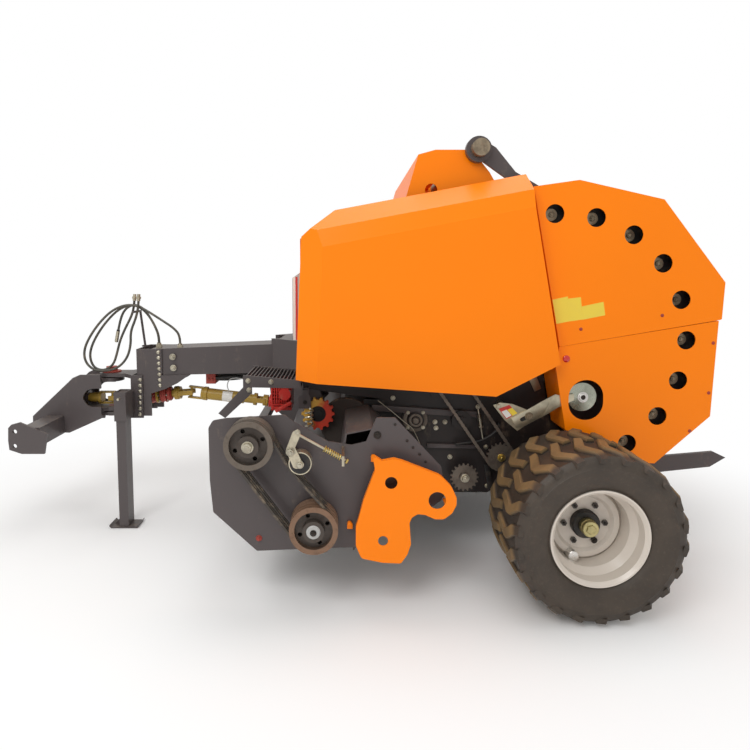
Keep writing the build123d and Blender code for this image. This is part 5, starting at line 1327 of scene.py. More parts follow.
@dataclass(frozen=True)
class WheelTrim(SubAssembly):
    """Hub drum, stepped cap, studs and valve guard on both wheels; sizes in mm."""

    face: float = 1180.0
    drum: tuple[Corner, ...] = ((70.0, 1.0), (70.0, 32.0), (64.0, 38.0))
    drum_end: float = 1218.0
    cap: tuple[Corner, ...] = ((41, 0), (41, 26), (38, 29), (38, 33), (40, 35), (40, 48), (37, 52))
    cap_length: float = 52.0
    stud_circle: float = 102.5
    stud_foot: float = 16.0
    studs: int = 6
    guard_angle: float = -114.0
    guard_circle: float = 165.0
    guard_foot: float = 4.0

    def build(self, axle_height: float) -> None:
        """Make the pieces of both wheels.

        Args:
            axle_height: Height of the wheels' axle in mm.
        """
        for side, body, name in ((-1, Body.WHEEL_LEFT, "left"), (1, Body.WHEEL_RIGHT, "right")):
            out = RIGHT * side

            def at(height: float, radius: float = 0.0, degrees: float = 0.0) -> Vector:
                """Point at a distance from the machine's middle and off the axle."""
                angle = math.radians(degrees)
                return self.place(radius * math.cos(angle), side * height,
                                  axle_height + radius * math.sin(angle))

            Shape().turned(at(self.face), out, metres(self.drum), 40).piece(
                f"hub_drum_{name}", self.finishes.black, body, Slot.SILVER)
            cap = Shape().turned(at(self.drum_end), out, metres(self.cap), 36)
            cap.nut(at(self.drum_end + self.cap_length), out, 0.025, 0.008, 0.3)
            cap.piece(f"hub_cap_{name}", self.finishes.hub_zinc, body, Slot.SILVER, 0.001)
            studs = Shape()
            for number in range(self.studs):
                foot = at(self.face + self.stud_foot, self.stud_circle, 360 / self.studs * number)
                studs.rod(foot - out * 0.004, foot + out * 0.010, 0.0075, 12)
            studs.ring(foot - out * 0.003, out, 0.006, 0.016, 0.004, 20)
            studs.piece(f"wheel_studs_{name}", self.finishes.dark_nut, body, Slot.SILVER)
            foot = at(self.face + self.guard_foot, self.guard_circle, self.guard_angle)
            Shape().rod(foot - out * 0.004, foot + out * 0.054, 0.027, 32).piece(
                f"valve_guard_{name}", self.finishes.bright, body, Slot.SILVER, 0.0006)


@dataclass(frozen=True)
class Hitch(SubAssembly):
    """Bolts on the drawbar's adapter and beam and the stand's pin; sizes in mm.

    Each row of bolts holds the x, y and z of its upper bolt and how far x and z run to the lowest.
    """

    rows: tuple[tuple[float, ...], ...] = ((-2575.0, -149.0, 956.0, -8.0, -235.0),
                                           (-2452.0, -137.0, 1142.0, 6.0, -226.0))
    row_bolts: int = 7
    head: tuple[Corner, ...] = ((13.0, 0.0), (13.0, 3.0), (10.4, 6.0), (5.2, 8.0))
    plate_y: float = -137.0
    beam_bolts: tuple[Corner, ...] = ((-2356.0, 1111.0), (-2353.0, 1036.0))
    washer: float = 3.0

    def build(self) -> None:
        """Make the bolts of both sides and the pin."""
        bolts = Shape()
        for number in range(self.row_bolts):
            share = number / (self.row_bolts - 1)
            for x, y, z, run, drop in self.rows:
                foot = self.place(x + run * share, y, z + drop * share)
                bolts.turned(foot, LEFT, metres(self.head), 18)
        bolts.mirrored().piece("adapter_bolts", self.finishes.nut, Body.CHASSIS, Slot.ZINC)
        beam = Shape()
        for x, z in self.beam_bolts:
            beam.ring(self.place(x, self.plate_y, z), LEFT, 0.010, 0.022, self.washer / 1000, 24)
            beam.bolt(self.place(x, self.plate_y - self.washer, z), LEFT, 0.015, 0.006)
        beam.mirrored().piece("beam_bolts", self.finishes.nut, Body.CHASSIS, Slot.GREY)
        low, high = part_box("stand_leg")
        middle = Vector(((low.x + high.x) / 2 + 0.012, low.y - 0.030, 0.872))
        Shape().rod(middle + LEFT * 0.028, middle + RIGHT * 0.006, 0.008, 14).piece(
            "stand_pin", self.finishes.nut, Body.CHASSIS, Slot.ZINC)


@dataclass(frozen=True)
class Driveline(SubAssembly):
    """Safety clutch, label, collars, pipes and gearbox trim of the driveline; sizes in mm.

    Each of bolt_nuts holds its place down the shaft, which way it looks, its share of the bolts' circle
    and its height.
    """

    pivot: Corner = (-2823.0, 807.0)
    joint: Corner = (-2270.0, 845.0)
    rear_end: Corner = (-1762.0, 786.0)
    plates: tuple[float, ...] = (277.0, 345.0)
    plate: tuple[Corner, ...] = ((30, 0), (56, 0), (60, 5), (60, 12), (55, 16), (55, 28), (60, 32),
                                 (60, 40), (30, 44))
    hub_start: float = 392.0
    hub: tuple[Corner, ...] = ((30, 0), (52, 0), (52, 18), (44, 26), (30, 30))
    clutch_bolts: int = 6
    bolt_circle: float = 52.0
    bolt_run: Corner = (258.0, 338.0)
    bolt_nuts: tuple[tuple[float, ...], ...] = ((332.5, 1, 1.0, 7), (261.5, -1, 1.0, 7),
                                                (388.0, 1, 0.9, 9))
    tube_radius: float = 40.0
    label_start: float = 223.0
    label_length: float = 70.0
    label_sheet: float = 0.8
    fins: int = 8
    fin_pitch: float = 16.0
    fin_start: float = -1692.0
    fin_thickness: float = 6.0
    fin_low: Corner = (-124.0, 792.0)
    fin_high: Corner = (-90.0, 908.0)
    front_collar: tuple[Corner, ...] = ((40, 0), (47, 4), (47, 30), (41, 36))
    rear_collar: tuple[Corner, ...] = ((41, 0), (48, 6), (48, 30), (42, 34))
    cover_y: float = -175.0
    cover: tuple[Corner, ...] = ((-1668, 752), (-1560, 812), (-1548, 796), (-1655, 735))
    pipes: tuple[Corner, ...] = ((-62, 952), (-34, 968), (-8, 946), (22, 962), (50, 940))
    pipe_span: tuple[int, int, int] = (-2150, -1560, 45)
    block: tuple[Triple, Triple] = ((-2150, -70, 915), (-2085, 60, 1010))
    block_bolts: tuple[Corner, ...] = ((-2130, 985), (-2105, 985), (-2130, 945), (-2105, 945))
    cord_y: float = -80.0
    cord: tuple[Corner, ...] = ((-1990, 862), (-2002, 905), (-1985, 945), (-1945, 957), (-1890, 950))

    def build(self) -> None:
        """Make the pieces."""
        start, end = self.place.line((self.pivot, self.joint), 0)
        rear_end = self.place(self.rear_end[0], 0, self.rear_end[1])
        along, rear = (end - start).normalized(), (rear_end - end).normalized()
        red, yellow = self.finishes.by_slot[Slot.RED], self.finishes.by_slot[Slot.YELLOW]
        self.clutch(start, along)
        self.label(end, rear)
        self.beam_pipes()
        fins = Shape()
        for number in range(self.fins):
            x = self.fin_start + self.fin_pitch * number
            fins.box(self.place(x, *self.fin_low), self.place(x + self.fin_thickness, *self.fin_high))
        fins.piece("gearbox_fins", red, Body.CHASSIS, Slot.RED, 0.001)
        Shape().turned(end - along * 0.118, along, metres(self.front_collar), 32).piece(
            "front_collar", yellow, Body.DRAWBAR_SHAFT, Slot.YELLOW)
        Shape().turned(end + rear * 0.084, rear, metres(self.rear_collar), 32).piece(
            "rear_collar", yellow, Body.GEARBOX_SHAFT, Slot.YELLOW)
        Shape().prism(self.place.line(self.cover, self.cover_y), RIGHT * 0.062).piece(
            "gearbox_cover", red, Body.CHASSIS, Slot.RED, 0.003)

    def clutch(self, start: Vector, along: Vector) -> None:
        """Make the safety clutch's cover and the bolts through it.

        Args:
            start: Point that the clutch's places are measured from.
            along: Unit vector down the driveline.
        """
        first, second, _ = Shape.basis(along)
        drum = Shape()
        for low in self.plates:
            drum.turned(start + along * (low / 1000), along, metres(self.plate), 44, closed=True)
        drum.turned(start + along * (self.hub_start / 1000), along, metres(self.hub), 36, closed=True)
        drum.piece("clutch_cover", self.finishes.nut_red, Body.DRAWBAR_SHAFT, Slot.RED, 0.001)
        bolts = Shape()
        for number in range(self.clutch_bolts):
            angle = 2 * math.pi * number / self.clutch_bolts
            out = (first * math.cos(angle) + second * math.sin(angle)) * (self.bolt_circle / 1000)
            bolts.rod(*(start + along * (end / 1000) + out for end in self.bolt_run), 0.004, 10)
            for reach, look, share, height in self.bolt_nuts:
                bolts.nut(start + along * (reach / 1000) + out * share, along * look, 0.009,
                          height / 1000, angle)
        bolts.piece("clutch_bolts", self.finishes.nut, Body.DRAWBAR_SHAFT, Slot.ZINC)

    def beam_pipes(self) -> None:
        """Make the oil pipes with their valve block under the beam, and the guard's cord."""
        pipes = Shape()
        for number, (y, z) in enumerate(self.pipes):
            path = [self.place(x, y + 6 * math.sin(x * 0.017 + number),
                               z + 9 * math.sin(x * 0.012 + 2 * number))
                    for x in range(*self.pipe_span)]
            pipes.swept(smooth_path(path, 3), 0.011, 10)
        pipes.piece("oil_pipes", self.finishes.black, Body.CHASSIS, Slot.HOSE)
        block = Shape().box(*(self.place(*corner) for corner in self.block))
        for point in self.place.line(self.block_bolts, self.block[0][1]):
            block.bolt(point, LEFT, 0.009, 0.006)
        block.piece("valve_block", self.finishes.nut_red, Body.CHASSIS, Slot.RED, 0.002)
        Shape().swept(smooth_path(self.place.line(self.cord, self.cord_y)), 0.0035, 8).piece(
            "guard_cord", self.finishes.by_slot[Slot.LIGHT_GREY], Body.CHASSIS, Slot.LIGHT_GREY)

    def label(self, start: Vector, along: Vector) -> None:
        """Make the blank white label bent round the rear shaft's tube.

        Args:
            start: Joint that the shaft starts from.
            along: Direction of the shaft.
        """
        low = start + along * (self.label_start / 1000)
        length, sheet = self.label_length / 1000, self.label_sheet / 1000
        radius = self.tube_radius / 1000 + 0.0002
        label, rows = Shape(), 12
        for row in range(rows + 1):
            angle = math.radians(-50 + 110 * row / rows)
            out = (LEFT * math.cos(angle) + UP * math.sin(angle))
            out = (out - along * out.dot(along)).normalized()
            for reach, lift in ((0.0, 0.0), (length, 0.0), (length, sheet), (0.0, sheet)):
                label.points.append(low + along * reach + out * (radius + lift))
        for row in range(rows):
            base = row * 4
            for k in range(4):
                m = (k + 1) % 4
                label.faces.append((base + k, base + m, base + 4 + m, base + 4 + k))
        label.faces.append((3, 2, 1, 0))
        label.faces.append(tuple(rows * 4 + k for k in range(4)))
        label.piece("shaft_label", self.finishes.sticker_white, Body.GEARBOX_SHAFT, Slot.YELLOW)


@dataclass(frozen=True)
class DriveCompartment(SubAssembly):
    """Bolts, bars, pipe, spring and stickers beside the chain on the machine's left; sizes in mm.

    Tables hold x and z of each point. The stickers' spans are shares across and down the red one.
    """

    wall: float = -658.0
    bar: float = -680.0
    pipe: float = -700.0
    bearing_y: float = -675.0
    bearing_face: float = -692.0
    wall_bolts: tuple[Corner, ...] = ((-914, 943), (-415, 890), (-666, 800), (-607, 800), (-660, 764),
                                      (-520, 836), (-575, 590), (-363, 650), (-352, 414))
    bearing: Corner = (-784.0, 818.0)
    bearing_circle: float = 62.0
    bearing_end: tuple[Corner, ...] = ((20, 0), (20, 14), (16, 18))
    sprocket_nut: Triple = (-506.0, -763.0, 498.0)
    tension_nut: Triple = (-294.0, -739.0, 611.0)
    upper_bar: tuple[Corner, ...] = ((-1038, 906), (-408, 865), (-407, 829), (-1037, 871))
    lower_bar: tuple[Corner, ...] = ((-712, 674), (-430, 668), (-430, 646), (-712, 650))
    pipe_run: tuple[Corner, ...] = ((-301, 805), (-323, 752), (-398, 704), (-478, 690), (-554, 680))
    rod_run: tuple[Corner, ...] = ((-425, 893), (-405, 775), (-392, 704))
    spring_run: tuple[Corner, ...] = ((-419, 858), (-407, 788))
    link: tuple[Corner, ...] = ((-383, 556), (-351, 550), (-323, 398), (-355, 404))
    wire_y: float = -712.0
    wire_run: tuple[Corner, ...] = ((-1005, 939), (-930, 880), (-855, 816), (-802, 769), (-755, 674))
    # Black sheets of painted shade behind the feed opening and the gap at the tailgate's edge.
    opening_shade: tuple[Triple, Triple] = ((-1085, -640, 775), (-850, -636, 930))
    gap_shade: tuple[Triple, Triple] = ((-30, -640, 690), (135, -636, 890))
    strip: tuple[Corner, ...] = ((-120, 1051), (-77, 1072), (-49, 999), (-86, 981))
    latch_face: float = -860.0
    sticker: tuple[Corner, ...] = ((-350, 926), (-292, 948), (-246, 902), (-306, 868))
    plate_bolt: Corner = (-353.0, 941.0)
    arm_face: float = -868.0
    arm: tuple[Corner, ...] = ((-281, 874), (-250, 821), (-226, 821), (-78, 901), (-20, 938), (60, 975),
                               (60, 1010), (-22, 1003), (-42, 1009), (-114, 970), (-192, 924))
    arm_bend: tuple[Corner, ...] = ((-104, 890), (-72, 905), (-38, 1006), (-64, 992))
    arm_pivot: Corner = (-185.0, 887.0)
    slot_ends: tuple[tuple[float, ...], ...] = ((-185.0, 887.0, -65.0), (-222.0, 868.0, 115.0))
    slot_radius: float = 11.0

    def build(self) -> None:
        """Make the pieces."""
        self.bolts()
        self.bars()
        self.linkage()
        self.covers()
        self.latch_plate()
        self.latch_arm()

    def bolts(self) -> None:
        """Make the bolts on the wall, the bearing and the sprockets."""
        x, z = self.bearing
        bolts = Shape()
        for point in self.place.line(self.wall_bolts, self.wall):
            bolts.bolt(point, LEFT, 0.012, 0.004)
        for number in range(4):
            angle = math.radians(45 + 90 * number)
            across, up = self.bearing_circle * math.cos(angle), self.bearing_circle * math.sin(angle)
            bolts.bolt(self.place(x + across, self.bearing_y, z + up), LEFT, 0.012, 0.005)
        bolts.mirrored().piece("wall_bolts", self.finishes.nut, Body.CHASSIS, Slot.ZINC)
        front = self.place(x, self.bearing_face, z)
        bearing = Shape().ring(front, LEFT, 0.026, 0.040, 0.005, 32)
        bearing.ring(self.place(x, self.bearing_y, z), LEFT, 0.050, 0.072, 0.004, 36)
        bearing.turned(front, LEFT, metres(self.bearing_end), 24)
        bearing.mirrored().piece("bearing_rings", self.finishes.chain, Body.CHASSIS, Slot.IRON, 0.001)
        Shape().bolt(self.place(*self.sprocket_nut), LEFT, 0.021, 0.006).piece(
            "sprocket_nut", self.finishes.nut, Body.CHASSIS, Slot.ZINC)
        Shape().bolt(self.place(*self.tension_nut), LEFT, 0.019, 0.006).piece(
            "tension_nut", self.finishes.brass_nut, Body.CHASSIS, Slot.ZINC)

    def bars(self) -> None:
        """Make the two bars across the compartment and the pipe."""
        bars = Shape().prism(self.place.line(self.upper_bar, self.bar), RIGHT * 0.022)
        bars.prism(self.place.line(self.lower_bar, self.bar), RIGHT * 0.022)
        bars.piece("cross_bars", self.finishes.by_slot[Slot.GREY], Body.CHASSIS, Slot.GREY, 0.002)
        Shape().swept(smooth_path(self.place.line(self.pipe_run, self.pipe)), 0.009, 12).piece(
            "oil_pipe", self.finishes.black, Body.CHASSIS, Slot.GREY)

    def linkage(self) -> None:
        """Make the tension rod with its spring, the link plate and the pull wire."""
        top, knee, foot = self.place.line(self.rod_run, self.pipe)
        rod = Shape().rod(top, knee, 0.005).rod(knee, foot, 0.005)
        upper, lower = self.place.line(self.spring_run, self.pipe)
        rod.spring(upper, lower, 0.011, 0.002, 9)
        rod.nut(lower, knee - lower, 0.014, 0.009)
        rod.piece("tension_rod", self.finishes.nut, Body.CHASSIS, Slot.ZINC)
        Shape().prism(self.place.line(self.link, self.pipe), RIGHT * 0.008).piece(
            "link_plate", self.finishes.black, Body.CHASSIS, Slot.GREY, 0.001)
        Shape().swept(smooth_path(self.place.line(self.wire_run, self.wire_y)), 0.0025, 8).piece(
            "pull_wire", self.finishes.nut, Body.CHASSIS, Slot.ZINC)

    def covers(self) -> None:
        """Make black sheets behind the feed opening and the tailgate's edge as painted shade seen through
        them, and the zinc strip.
        """
        # Painted shade: black sheets seen through the openings in the side.
        opening_shade = Shape().box(*(self.place(*corner) for corner in self.opening_shade))
        opening_shade.piece("feed_opening_shade", self.finishes.black, Body.CHASSIS, Slot.BELT)
        gap_shade = Shape().box(*(self.place(*corner) for corner in self.gap_shade))
        gap_shade.mirrored().piece("tailgate_gap_shade", self.finishes.black, Body.CHASSIS, Slot.BELT)
        Shape().prism(self.place.line(self.strip, self.wall), LEFT * 0.004).piece(
            "zinc_strip", self.finishes.dull_zinc, Body.CHASSIS, Slot.ZINC, 0.0008)

    def latch_plate(self) -> None:
        """Make the blank stickers and the bolt on the latch's plate."""
        corners = self.place.line(self.sticker, self.latch_face)
        Sticker("latch_red", corners, 0.0006).build(self.finishes.sticker_red, Body.CHASSIS)
        Sticker("latch_white", corners, 0.0010, (0.05, 0.52), (0.30, 0.93)).build(
            self.finishes.sticker_white, Body.CHASSIS)
        Sticker("latch_yellow", corners, 0.0010, (0.56, 1.0), (0.34, 1.0)).build(
            self.finishes.sticker_yellow, Body.CHASSIS)
        Shape().bolt(self.place.line([self.plate_bolt], self.latch_face)[0], LEFT, 0.012, 0.003).piece(
            "latch_plate_bolt", self.finishes.nut, Body.CHASSIS, Slot.ZINC)

    def latch_arm(self) -> None:
        """Make the latch's bent arm in place of its solid, a black sheet as painted shade in its slot, and
        its bolt.
        """
        arm = Shape().prism(self.place.line(self.arm, self.arm_face), RIGHT * 0.007)
        arm.prism(self.place.line(self.arm_bend, self.arm_face), LEFT * 0.003)
        zinc = self.finishes.by_slot[Slot.ZINC]
        plate = arm.piece("latch_arm_plate", zinc, Body.TAILGATE, Slot.ZINC, 0.001)
        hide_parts("latch_arm")
        # Painted shade: the slot is a black sheet on the arm's face, not a hole.
        slot = []
        for x, z, first in self.slot_ends:
            for turn in range(0, 181, 20):
                angle = math.radians(first + turn)
                slot.append((x + self.slot_radius * math.cos(angle), z + self.slot_radius * math.sin(angle)))
        Shape().prism(self.place.line(slot, self.arm_face), LEFT * 0.0008).piece(
            "latch_slot_shade", self.finishes.black, Body.TAILGATE, Slot.GREY)
        Shape().bolt(self.place.line([self.arm_pivot], self.arm_face)[0], LEFT, 0.019, 0.005).piece(
            "latch_arm_bolt", self.finishes.dull_zinc, Body.TAILGATE, Slot.ZINC)


@dataclass(frozen=True)
class Sticker:
    """Thin blank sticker inside four corners that lie on one of the machine's left faces."""

    name: str
    corners: Sequence[Vector]
    lift: float = 0.0007
    span: Corner = (0.0, 1.0)
    rise: Corner = (0.0, 1.0)

    def at(self, across: float, down: float) -> Vector:
        """Point between the corners: top left, top right, bottom right, bottom left."""
        top = self.corners[0].lerp(self.corners[1], across)
        return top.lerp(self.corners[3].lerp(self.corners[2], across), down)

    def build(self, material: bpy.types.Material, body: Body) -> None:
        """Make the sticker.

        Args:
            material: Finish of the sticker.
            body: Body that it rides on.
        """
        (left, right), (high, low) = self.span, self.rise
        outline = [self.at(left, high), self.at(right, high), self.at(right, low), self.at(left, low)]
        Shape().prism(outline, LEFT * self.lift).piece(self.name, material, body, Slot.ORANGE)


@dataclass(frozen=True)
class PickupSide(SubAssembly):
    """Small parts on the pickup's left side and round its drive; sizes in mm."""

    plate: float = -1178.0
    drum: Corner = (-1190.0, 792.0)
    drum_y: float = -634.0
    drum_radius: float = 151.0
    drum_steps: tuple[Corner, ...] = ((0, 0), (0, 20), (6, 26), (50, 22), (110, 12))
    plate_bolt: Corner = (-1036.0, 870.0)
    red_bolt: Corner = (-1629.0, 340.0)
    # Small holes in the side plate, drawn as dark heads whose colour is painted shade.
    hole_shade_rivets: tuple[Corner, ...] = ((-949, 923), (-889, 841), (-859, 807), (-826, 773), (-796, 735))
    hole_shade_head: tuple[Corner, ...] = ((7, 0), (7, 3), (4, 5))
    hooks: tuple[Corner, ...] = ((-1054, 755), (-1172, 413))
    hook: tuple[Corner, ...] = ((-14, -16), (14, -16), (14, 6), (5, 18), (-9, 18), (-14, 8))
    step_y: float = -830.0
    step_bolts: tuple[Corner, ...] = ((-1732, 1076), (-1727, 1025), (-1605, 1070))
    cap_y: float = -1318.0
    cap_bolt_y: float = -1330.0
    cap: tuple[Corner, ...] = ((34, 0), (34, 4), (28, 10), (28, 12))
    groove_y: float = -1193.0
    groove: tuple[Corner, ...] = ((112, 0), (118, 3), (118, 14), (108, 18), (118, 22), (118, 34), (108, 38),
                                  (118, 42), (118, 53), (112, 56))
    belt_shift: float = 56.0
    idler: Corner = (-1410.0, 768.0)
    idler_y: float = -1308.0
    tensioner_y: float = -1324.0
    tensioner: tuple[tuple[float, ...], ...] = ((-1420, 924, 11), (-1454, 829, 18), (-1410, 768, 16))
    spring_y: float = -1328.0
    spring_run: tuple[Corner, ...] = ((-1292, 845), (-1216, 802), (-1192, 789))
    hanger_y: float = -716.0
    hanger_bolt: Corner = (-1425.0, 930.0)
    hanger_foot: tuple[Triple, Triple] = ((-1440, -716, 1001), (-1404, -640, 1007))
    coil: tuple[Triple, Triple] = ((-1400, -742, 893), (-1400, -742, 793))
    coil_hook: tuple[Triple, Triple] = ((-1397, -721, 893), (-1397, -714, 900))
    hanger: tuple[Corner, ...] = ((-1466, 893), (-1391, 893), (-1391, 950), (-1404, 975), (-1404, 1013),
                                  (-1440, 1013), (-1440, 975), (-1466, 960))

    def build(self) -> None:
        """Make the pieces."""
        self.feed_drum()
        self.plate_parts()
        self.pulleys()
        self.rear_belts()
        self.tensioner_parts()
        self.clutch_spring()

    def feed_drum(self) -> None:
        """Make the dusty drum beside the clutch ring, just outside the chamber's wall."""
        x, z = self.drum
        profile = [(self.drum_radius - inside, height) for inside, height in self.drum_steps]
        Shape().turned(self.place(x, self.drum_y, z), LEFT, metres(profile), 56).piece(
            "feed_drum", self.finishes.dusty_sheet, Body.CHASSIS, Slot.GREY, smooth=50.0)

    def plate_parts(self) -> None:
        """Make the bolts and hooks on the side plate, dark heads as painted shade in its small holes, and
        the step's bolts.
        """
        large, red = self.place.line((self.plate_bolt, self.red_bolt), self.plate)
        bolts = Shape().bolt(large, LEFT, 0.016, 0.006)
        # Small dark heads stand where the plate has small holes; their dark colour is painted shade in the
        # holes.
        for point in self.place.line(self.hole_shade_rivets, self.plate):
            bolts.turned(point, LEFT, metres(self.hole_shade_head), 14)
        bolts.piece("plate_bolts_and_hole_shade", self.finishes.dark_nut, Body.PICKUP, Slot.GREY)
        Shape().bolt(red, LEFT, 0.013, 0.006).piece(
            "red_bolt", self.finishes.nut_red, Body.PICKUP, Slot.RED)
        hooks = Shape()
        for x, z in self.hooks:
            outline = [(x + across, z + up) for across, up in self.hook]
            hooks.prism(self.place.line(outline, self.plate), LEFT * 0.022)
        hooks.piece("guard_hooks", self.finishes.by_slot[Slot.ORANGE], Body.PICKUP, Slot.ORANGE, 0.002)
        step = Shape()
        for point in self.place.line(self.step_bolts, self.step_y):
            step.bolt(point, LEFT, 0.012, 0.004)
        step.piece("step_bolts", self.finishes.nut, Body.CHASSIS, Slot.ZINC)

    def pulleys(self) -> None:
        """Make the pulleys' nuts and caps and their rear halves."""
        (ux, uz), (lx, lz) = UPPER_PULLEY, LOWER_PULLEY
        Shape().bolt(self.place(ux, self.tensioner_y, uz), LEFT, 0.024, 0.004).piece(
            "upper_pulley_nut", self.finishes.nut, Body.PULLEY, Slot.ZINC)
        Shape().turned(self.place(lx, self.cap_y, lz), LEFT, metres(self.cap), 32).piece(
            "lower_pulley_cap", self.finishes.by_slot[Slot.LIGHT_GREY], Body.ROTOR, Slot.LIGHT_GREY)
        Shape().bolt(self.place(lx, self.cap_bolt_y, lz), LEFT, 0.013, 0.004).piece(
            "lower_pulley_bolt", self.finishes.dark_nut, Body.ROTOR, Slot.ZINC)
        for name, (x, z), body in (("upper", UPPER_PULLEY, Body.PULLEY),
                                   ("lower", LOWER_PULLEY, Body.ROTOR)):
            Shape().turned(self.place(x, self.groove_y, z), LEFT, metres(self.groove), 64).piece(
                f"{name}_pulley_rear", self.finishes.pulley[name], body, Slot.IRON)

    def rear_belts(self) -> None:
        """Copy the belts to the pulleys' rear halves."""
        mesh = bpy.context.scene.objects["drive_belts"].data.copy()
        for vertex in mesh.vertices:
            vertex.co.y += self.belt_shift / 1000
        belts = bpy.data.objects.new("rear_belts", mesh)
        bpy.context.scene.collection.objects.link(belts)
        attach(belts, Body.PICKUP.value)

    def tensioner_parts(self) -> None:
        """Make the idler's face and the tensioner's bolts and spring."""
        Shape().ring(self.place.line([self.idler], self.idler_y)[0], LEFT, 0.012, 0.050, 0.0015, 32).piece(
            "idler_face", self.finishes.black, Body.PICKUP, Slot.BELT)
        arm = Shape()
        for x, z, radius in self.tensioner:
            arm.bolt(self.place(x, self.tensioner_y, z), LEFT, radius / 1000, 0.005)
        arm.piece("tensioner_bolts", self.finishes.nut, Body.PICKUP, Slot.ZINC)
        start, end, stop = self.place.line(self.spring_run, self.spring_y)
        along = (end - start).normalized()
        spring = Shape().spring(start, end, 0.012, 0.0028, 8)
        spring.ring(start - along * 0.003, along, 0.006, 0.017, 0.003, 18)
        spring.nut(stop, along, 0.012, 0.009)
        spring.piece("tensioner_spring", self.finishes.brass_nut, Body.PICKUP, Slot.ZINC)

    def clutch_spring(self) -> None:
        """Make the hanger with its spring beside the clutch ring."""
        hanger = Shape().prism(self.place.line(self.hanger, self.hanger_y), RIGHT * 0.006)
        hanger.box(*(self.place(*corner) for corner in self.hanger_foot))
        hanger.piece("spring_hanger", self.finishes.by_slot[Slot.GREY], Body.CHASSIS, Slot.GREY, 0.001)
        Shape().bolt(self.place.line([self.hanger_bolt], self.hanger_y)[0], LEFT, 0.010, 0.003).piece(
            "hanger_bolt", self.finishes.dark_nut, Body.CHASSIS, Slot.GREY)
        coil = Shape().spring(*(self.place(*end) for end in self.coil), 0.021, 0.0055, 4)
        coil.rod(*(self.place(*end) for end in self.coil_hook), 0.004, 8)
        coil.piece("clutch_spring", self.finishes.nut, Body.CHASSIS, Slot.ZINC)


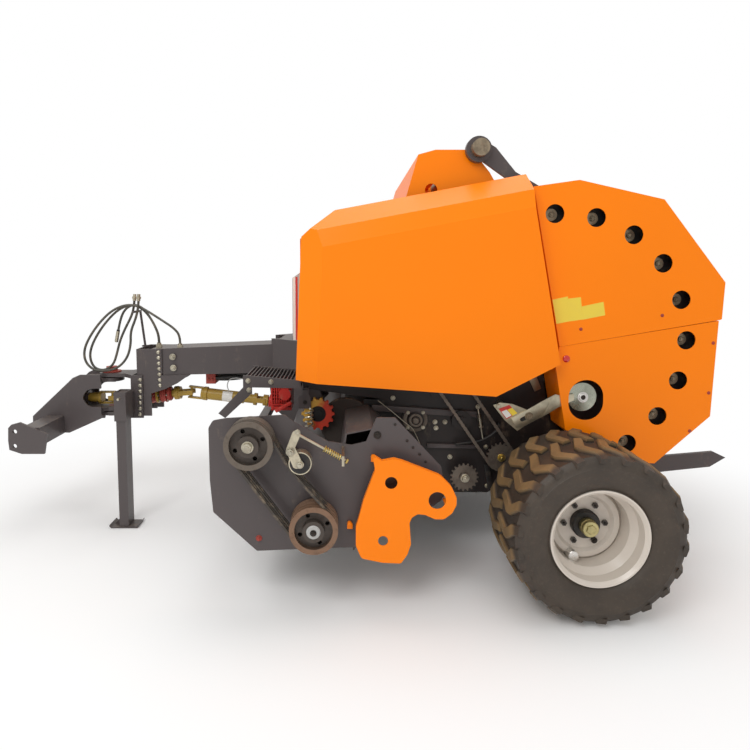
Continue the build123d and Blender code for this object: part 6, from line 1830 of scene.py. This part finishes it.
@dataclass(frozen=True)
class Panels(SubAssembly):
    """Labels, reflectors, bolts and roller ends on the tailgate and the front box's side; sizes in mm."""

    panel: float = -874.0
    labels: tuple[tuple[Corner, ...], ...] = (((-78, 1527), (5, 1545), (12, 1409), (-52, 1396)),
                                              ((5, 1533), (75, 1541), (90, 1420), (12, 1409)),
                                              ((82, 1491), (198, 1516), (210, 1443), (90, 1419)))
    bolts: tuple[Corner, ...] = ((802, 1292), (792, 1018), (699, 806), (81, 1368), (518, 1442))
    bolt_head: tuple[Corner, ...] = ((9, 0), (9, 2), (5, 5))
    roller_centre: Corner = (-30.0, 1301.0)
    roller_circle: float = 686.0
    first_angle: float = 94.0
    step_angle: float = 18.7
    tailgate_rollers: int = 9
    roller_end: float = -812.0
    # Depth and profile of the black rings of painted shade behind the holes.
    back_face: float = -800.0
    back: tuple[Corner, ...] = ((18, 0), (88, 0), (88, 3), (18, 3))
    disc: Corner = (112.0, 990.0)
    disc_face: float = -856.0
    disc_bolt: tuple[Corner, ...] = ((13, 0), (13, 7), (7, 9))
    reflector_centre: Corner = (7.0, 1206.0)
    reflector: tuple[Corner, ...] = ((19, 0), (19, 4), (15, 8), (7, 10))
    box_face: float = -643.0
    box_sheet: float = 3.0
    box_height: Corner = (1283.0, 1649.0)
    white_edge: Corner = (-1496.0, -1482.0)
    red_edge: Corner = (-1481.0, -1470.0)

    def build(self) -> None:
        """Make the pieces."""
        for number, corners in enumerate(self.labels):
            Sticker(f"panel_label_{number}", self.place.line(corners, self.panel)).build(
                self.finishes.sticker_yellow, Body.TAILGATE)
        bolts = Shape()
        for point in self.place.line(self.bolts, self.panel):
            bolts.turned(point, LEFT, metres(self.bolt_head), 18)
        bolts.mirrored().piece("panel_bolts", self.finishes.nut_red, Body.TAILGATE, Slot.ZINC)
        self.rollers()
        self.disc_parts()
        centre = self.place.line([self.reflector_centre], self.panel)[0]
        Shape().turned(centre, LEFT, metres(self.reflector), 28).mirrored().piece(
            "reflectors", self.finishes.reflector, Body.TAILGATE, Slot.RED)
        low, high = self.box_height
        for name, (front, rear), finish in (("box_edge_white", self.white_edge, self.finishes.sticker_white),
                                            ("box_edge_red", self.red_edge, self.finishes.sticker_red)):
            strip = Shape().box(self.place(front, self.box_face, low),
                                self.place(rear, self.box_face + self.box_sheet, high))
            strip.mirrored().piece(name, finish, Body.CHASSIS, Slot.ORANGE)

    def rollers(self) -> None:
        """Make the rollers' ends that show in the panels' holes, and black rings behind them as painted
        shade inside the holes.
        """
        ends, shade_rings = Shape(), Shape()
        for number in range(self.tailgate_rollers):
            angle = math.radians(self.first_angle - self.step_angle * number)
            x = self.roller_centre[0] + self.roller_circle * math.cos(angle)
            z = self.roller_centre[1] + self.roller_circle * math.sin(angle)
            centre = self.place(x, self.roller_end, z)
            ends.ring(centre, LEFT, 0.017, 0.034, 0.004, 28)
            ends.bolt(centre, LEFT, 0.014, 0.004)
            # Painted shade: a black ring behind each roller's end fills the hole around it.
            shade_rings.turned(self.place(x, self.back_face, z), LEFT, metres(self.back), 28, closed=True)
        ends.mirrored().piece("roller_end_bolts", self.finishes.dull_zinc, Body.TAILGATE, Slot.ZINC)
        shade_rings.mirrored().piece("hole_shade_rings", self.finishes.black, Body.TAILGATE, Slot.GREY)

    def disc_parts(self) -> None:
        """Make the washers and the bolt on the zinc discs."""
        x, z = self.disc
        face = self.place(x, self.disc_face, z)
        disc = Shape().ring(face, LEFT, 0.013, 0.030, 0.004, 32)
        disc.ring(self.place(x, self.disc_face - 4, z), LEFT, 0.013, 0.022, 0.004, 32)
        disc.mirrored().piece("disc_washers", self.finishes.bright, Body.TAILGATE, Slot.ZINC, 0.0008)
        Shape().turned(face, LEFT, metres(self.disc_bolt), 24).mirrored().piece(
            "disc_bolts", self.finishes.dark_nut, Body.TAILGATE, Slot.ZINC)


def main() -> None:
    """Build the studio, dress the solids and add every small part."""
    logging.basicConfig(level=logging.INFO, format="%(message)s")
    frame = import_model()
    low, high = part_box("rim_left")
    axle = (low + high) / 2
    place = Place(axle.x)
    tyre_low, tyre_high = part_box("tyre_left")
    finishes = Finishes((axle.x, axle.z), (tyre_high.z - tyre_low.z) / 2, place)
    bpy.context.scene.view_settings.view_transform = "Standard"
    Studio().build()
    HoseLoops(place, finishes).build()
    CadDressing(finishes).build(frame)
    for node, body in (("tyre_left", Body.WHEEL_LEFT), ("tyre_right", Body.WHEEL_RIGHT)):
        Tyre(node, body).build(finishes)
    WheelTrim(place, finishes).build(axle.z * 1000)
    for group in (Hitch, Driveline, DriveCompartment, PickupSide, Panels):
        group(place, finishes).build()


if __name__ == "__main__":
    main()
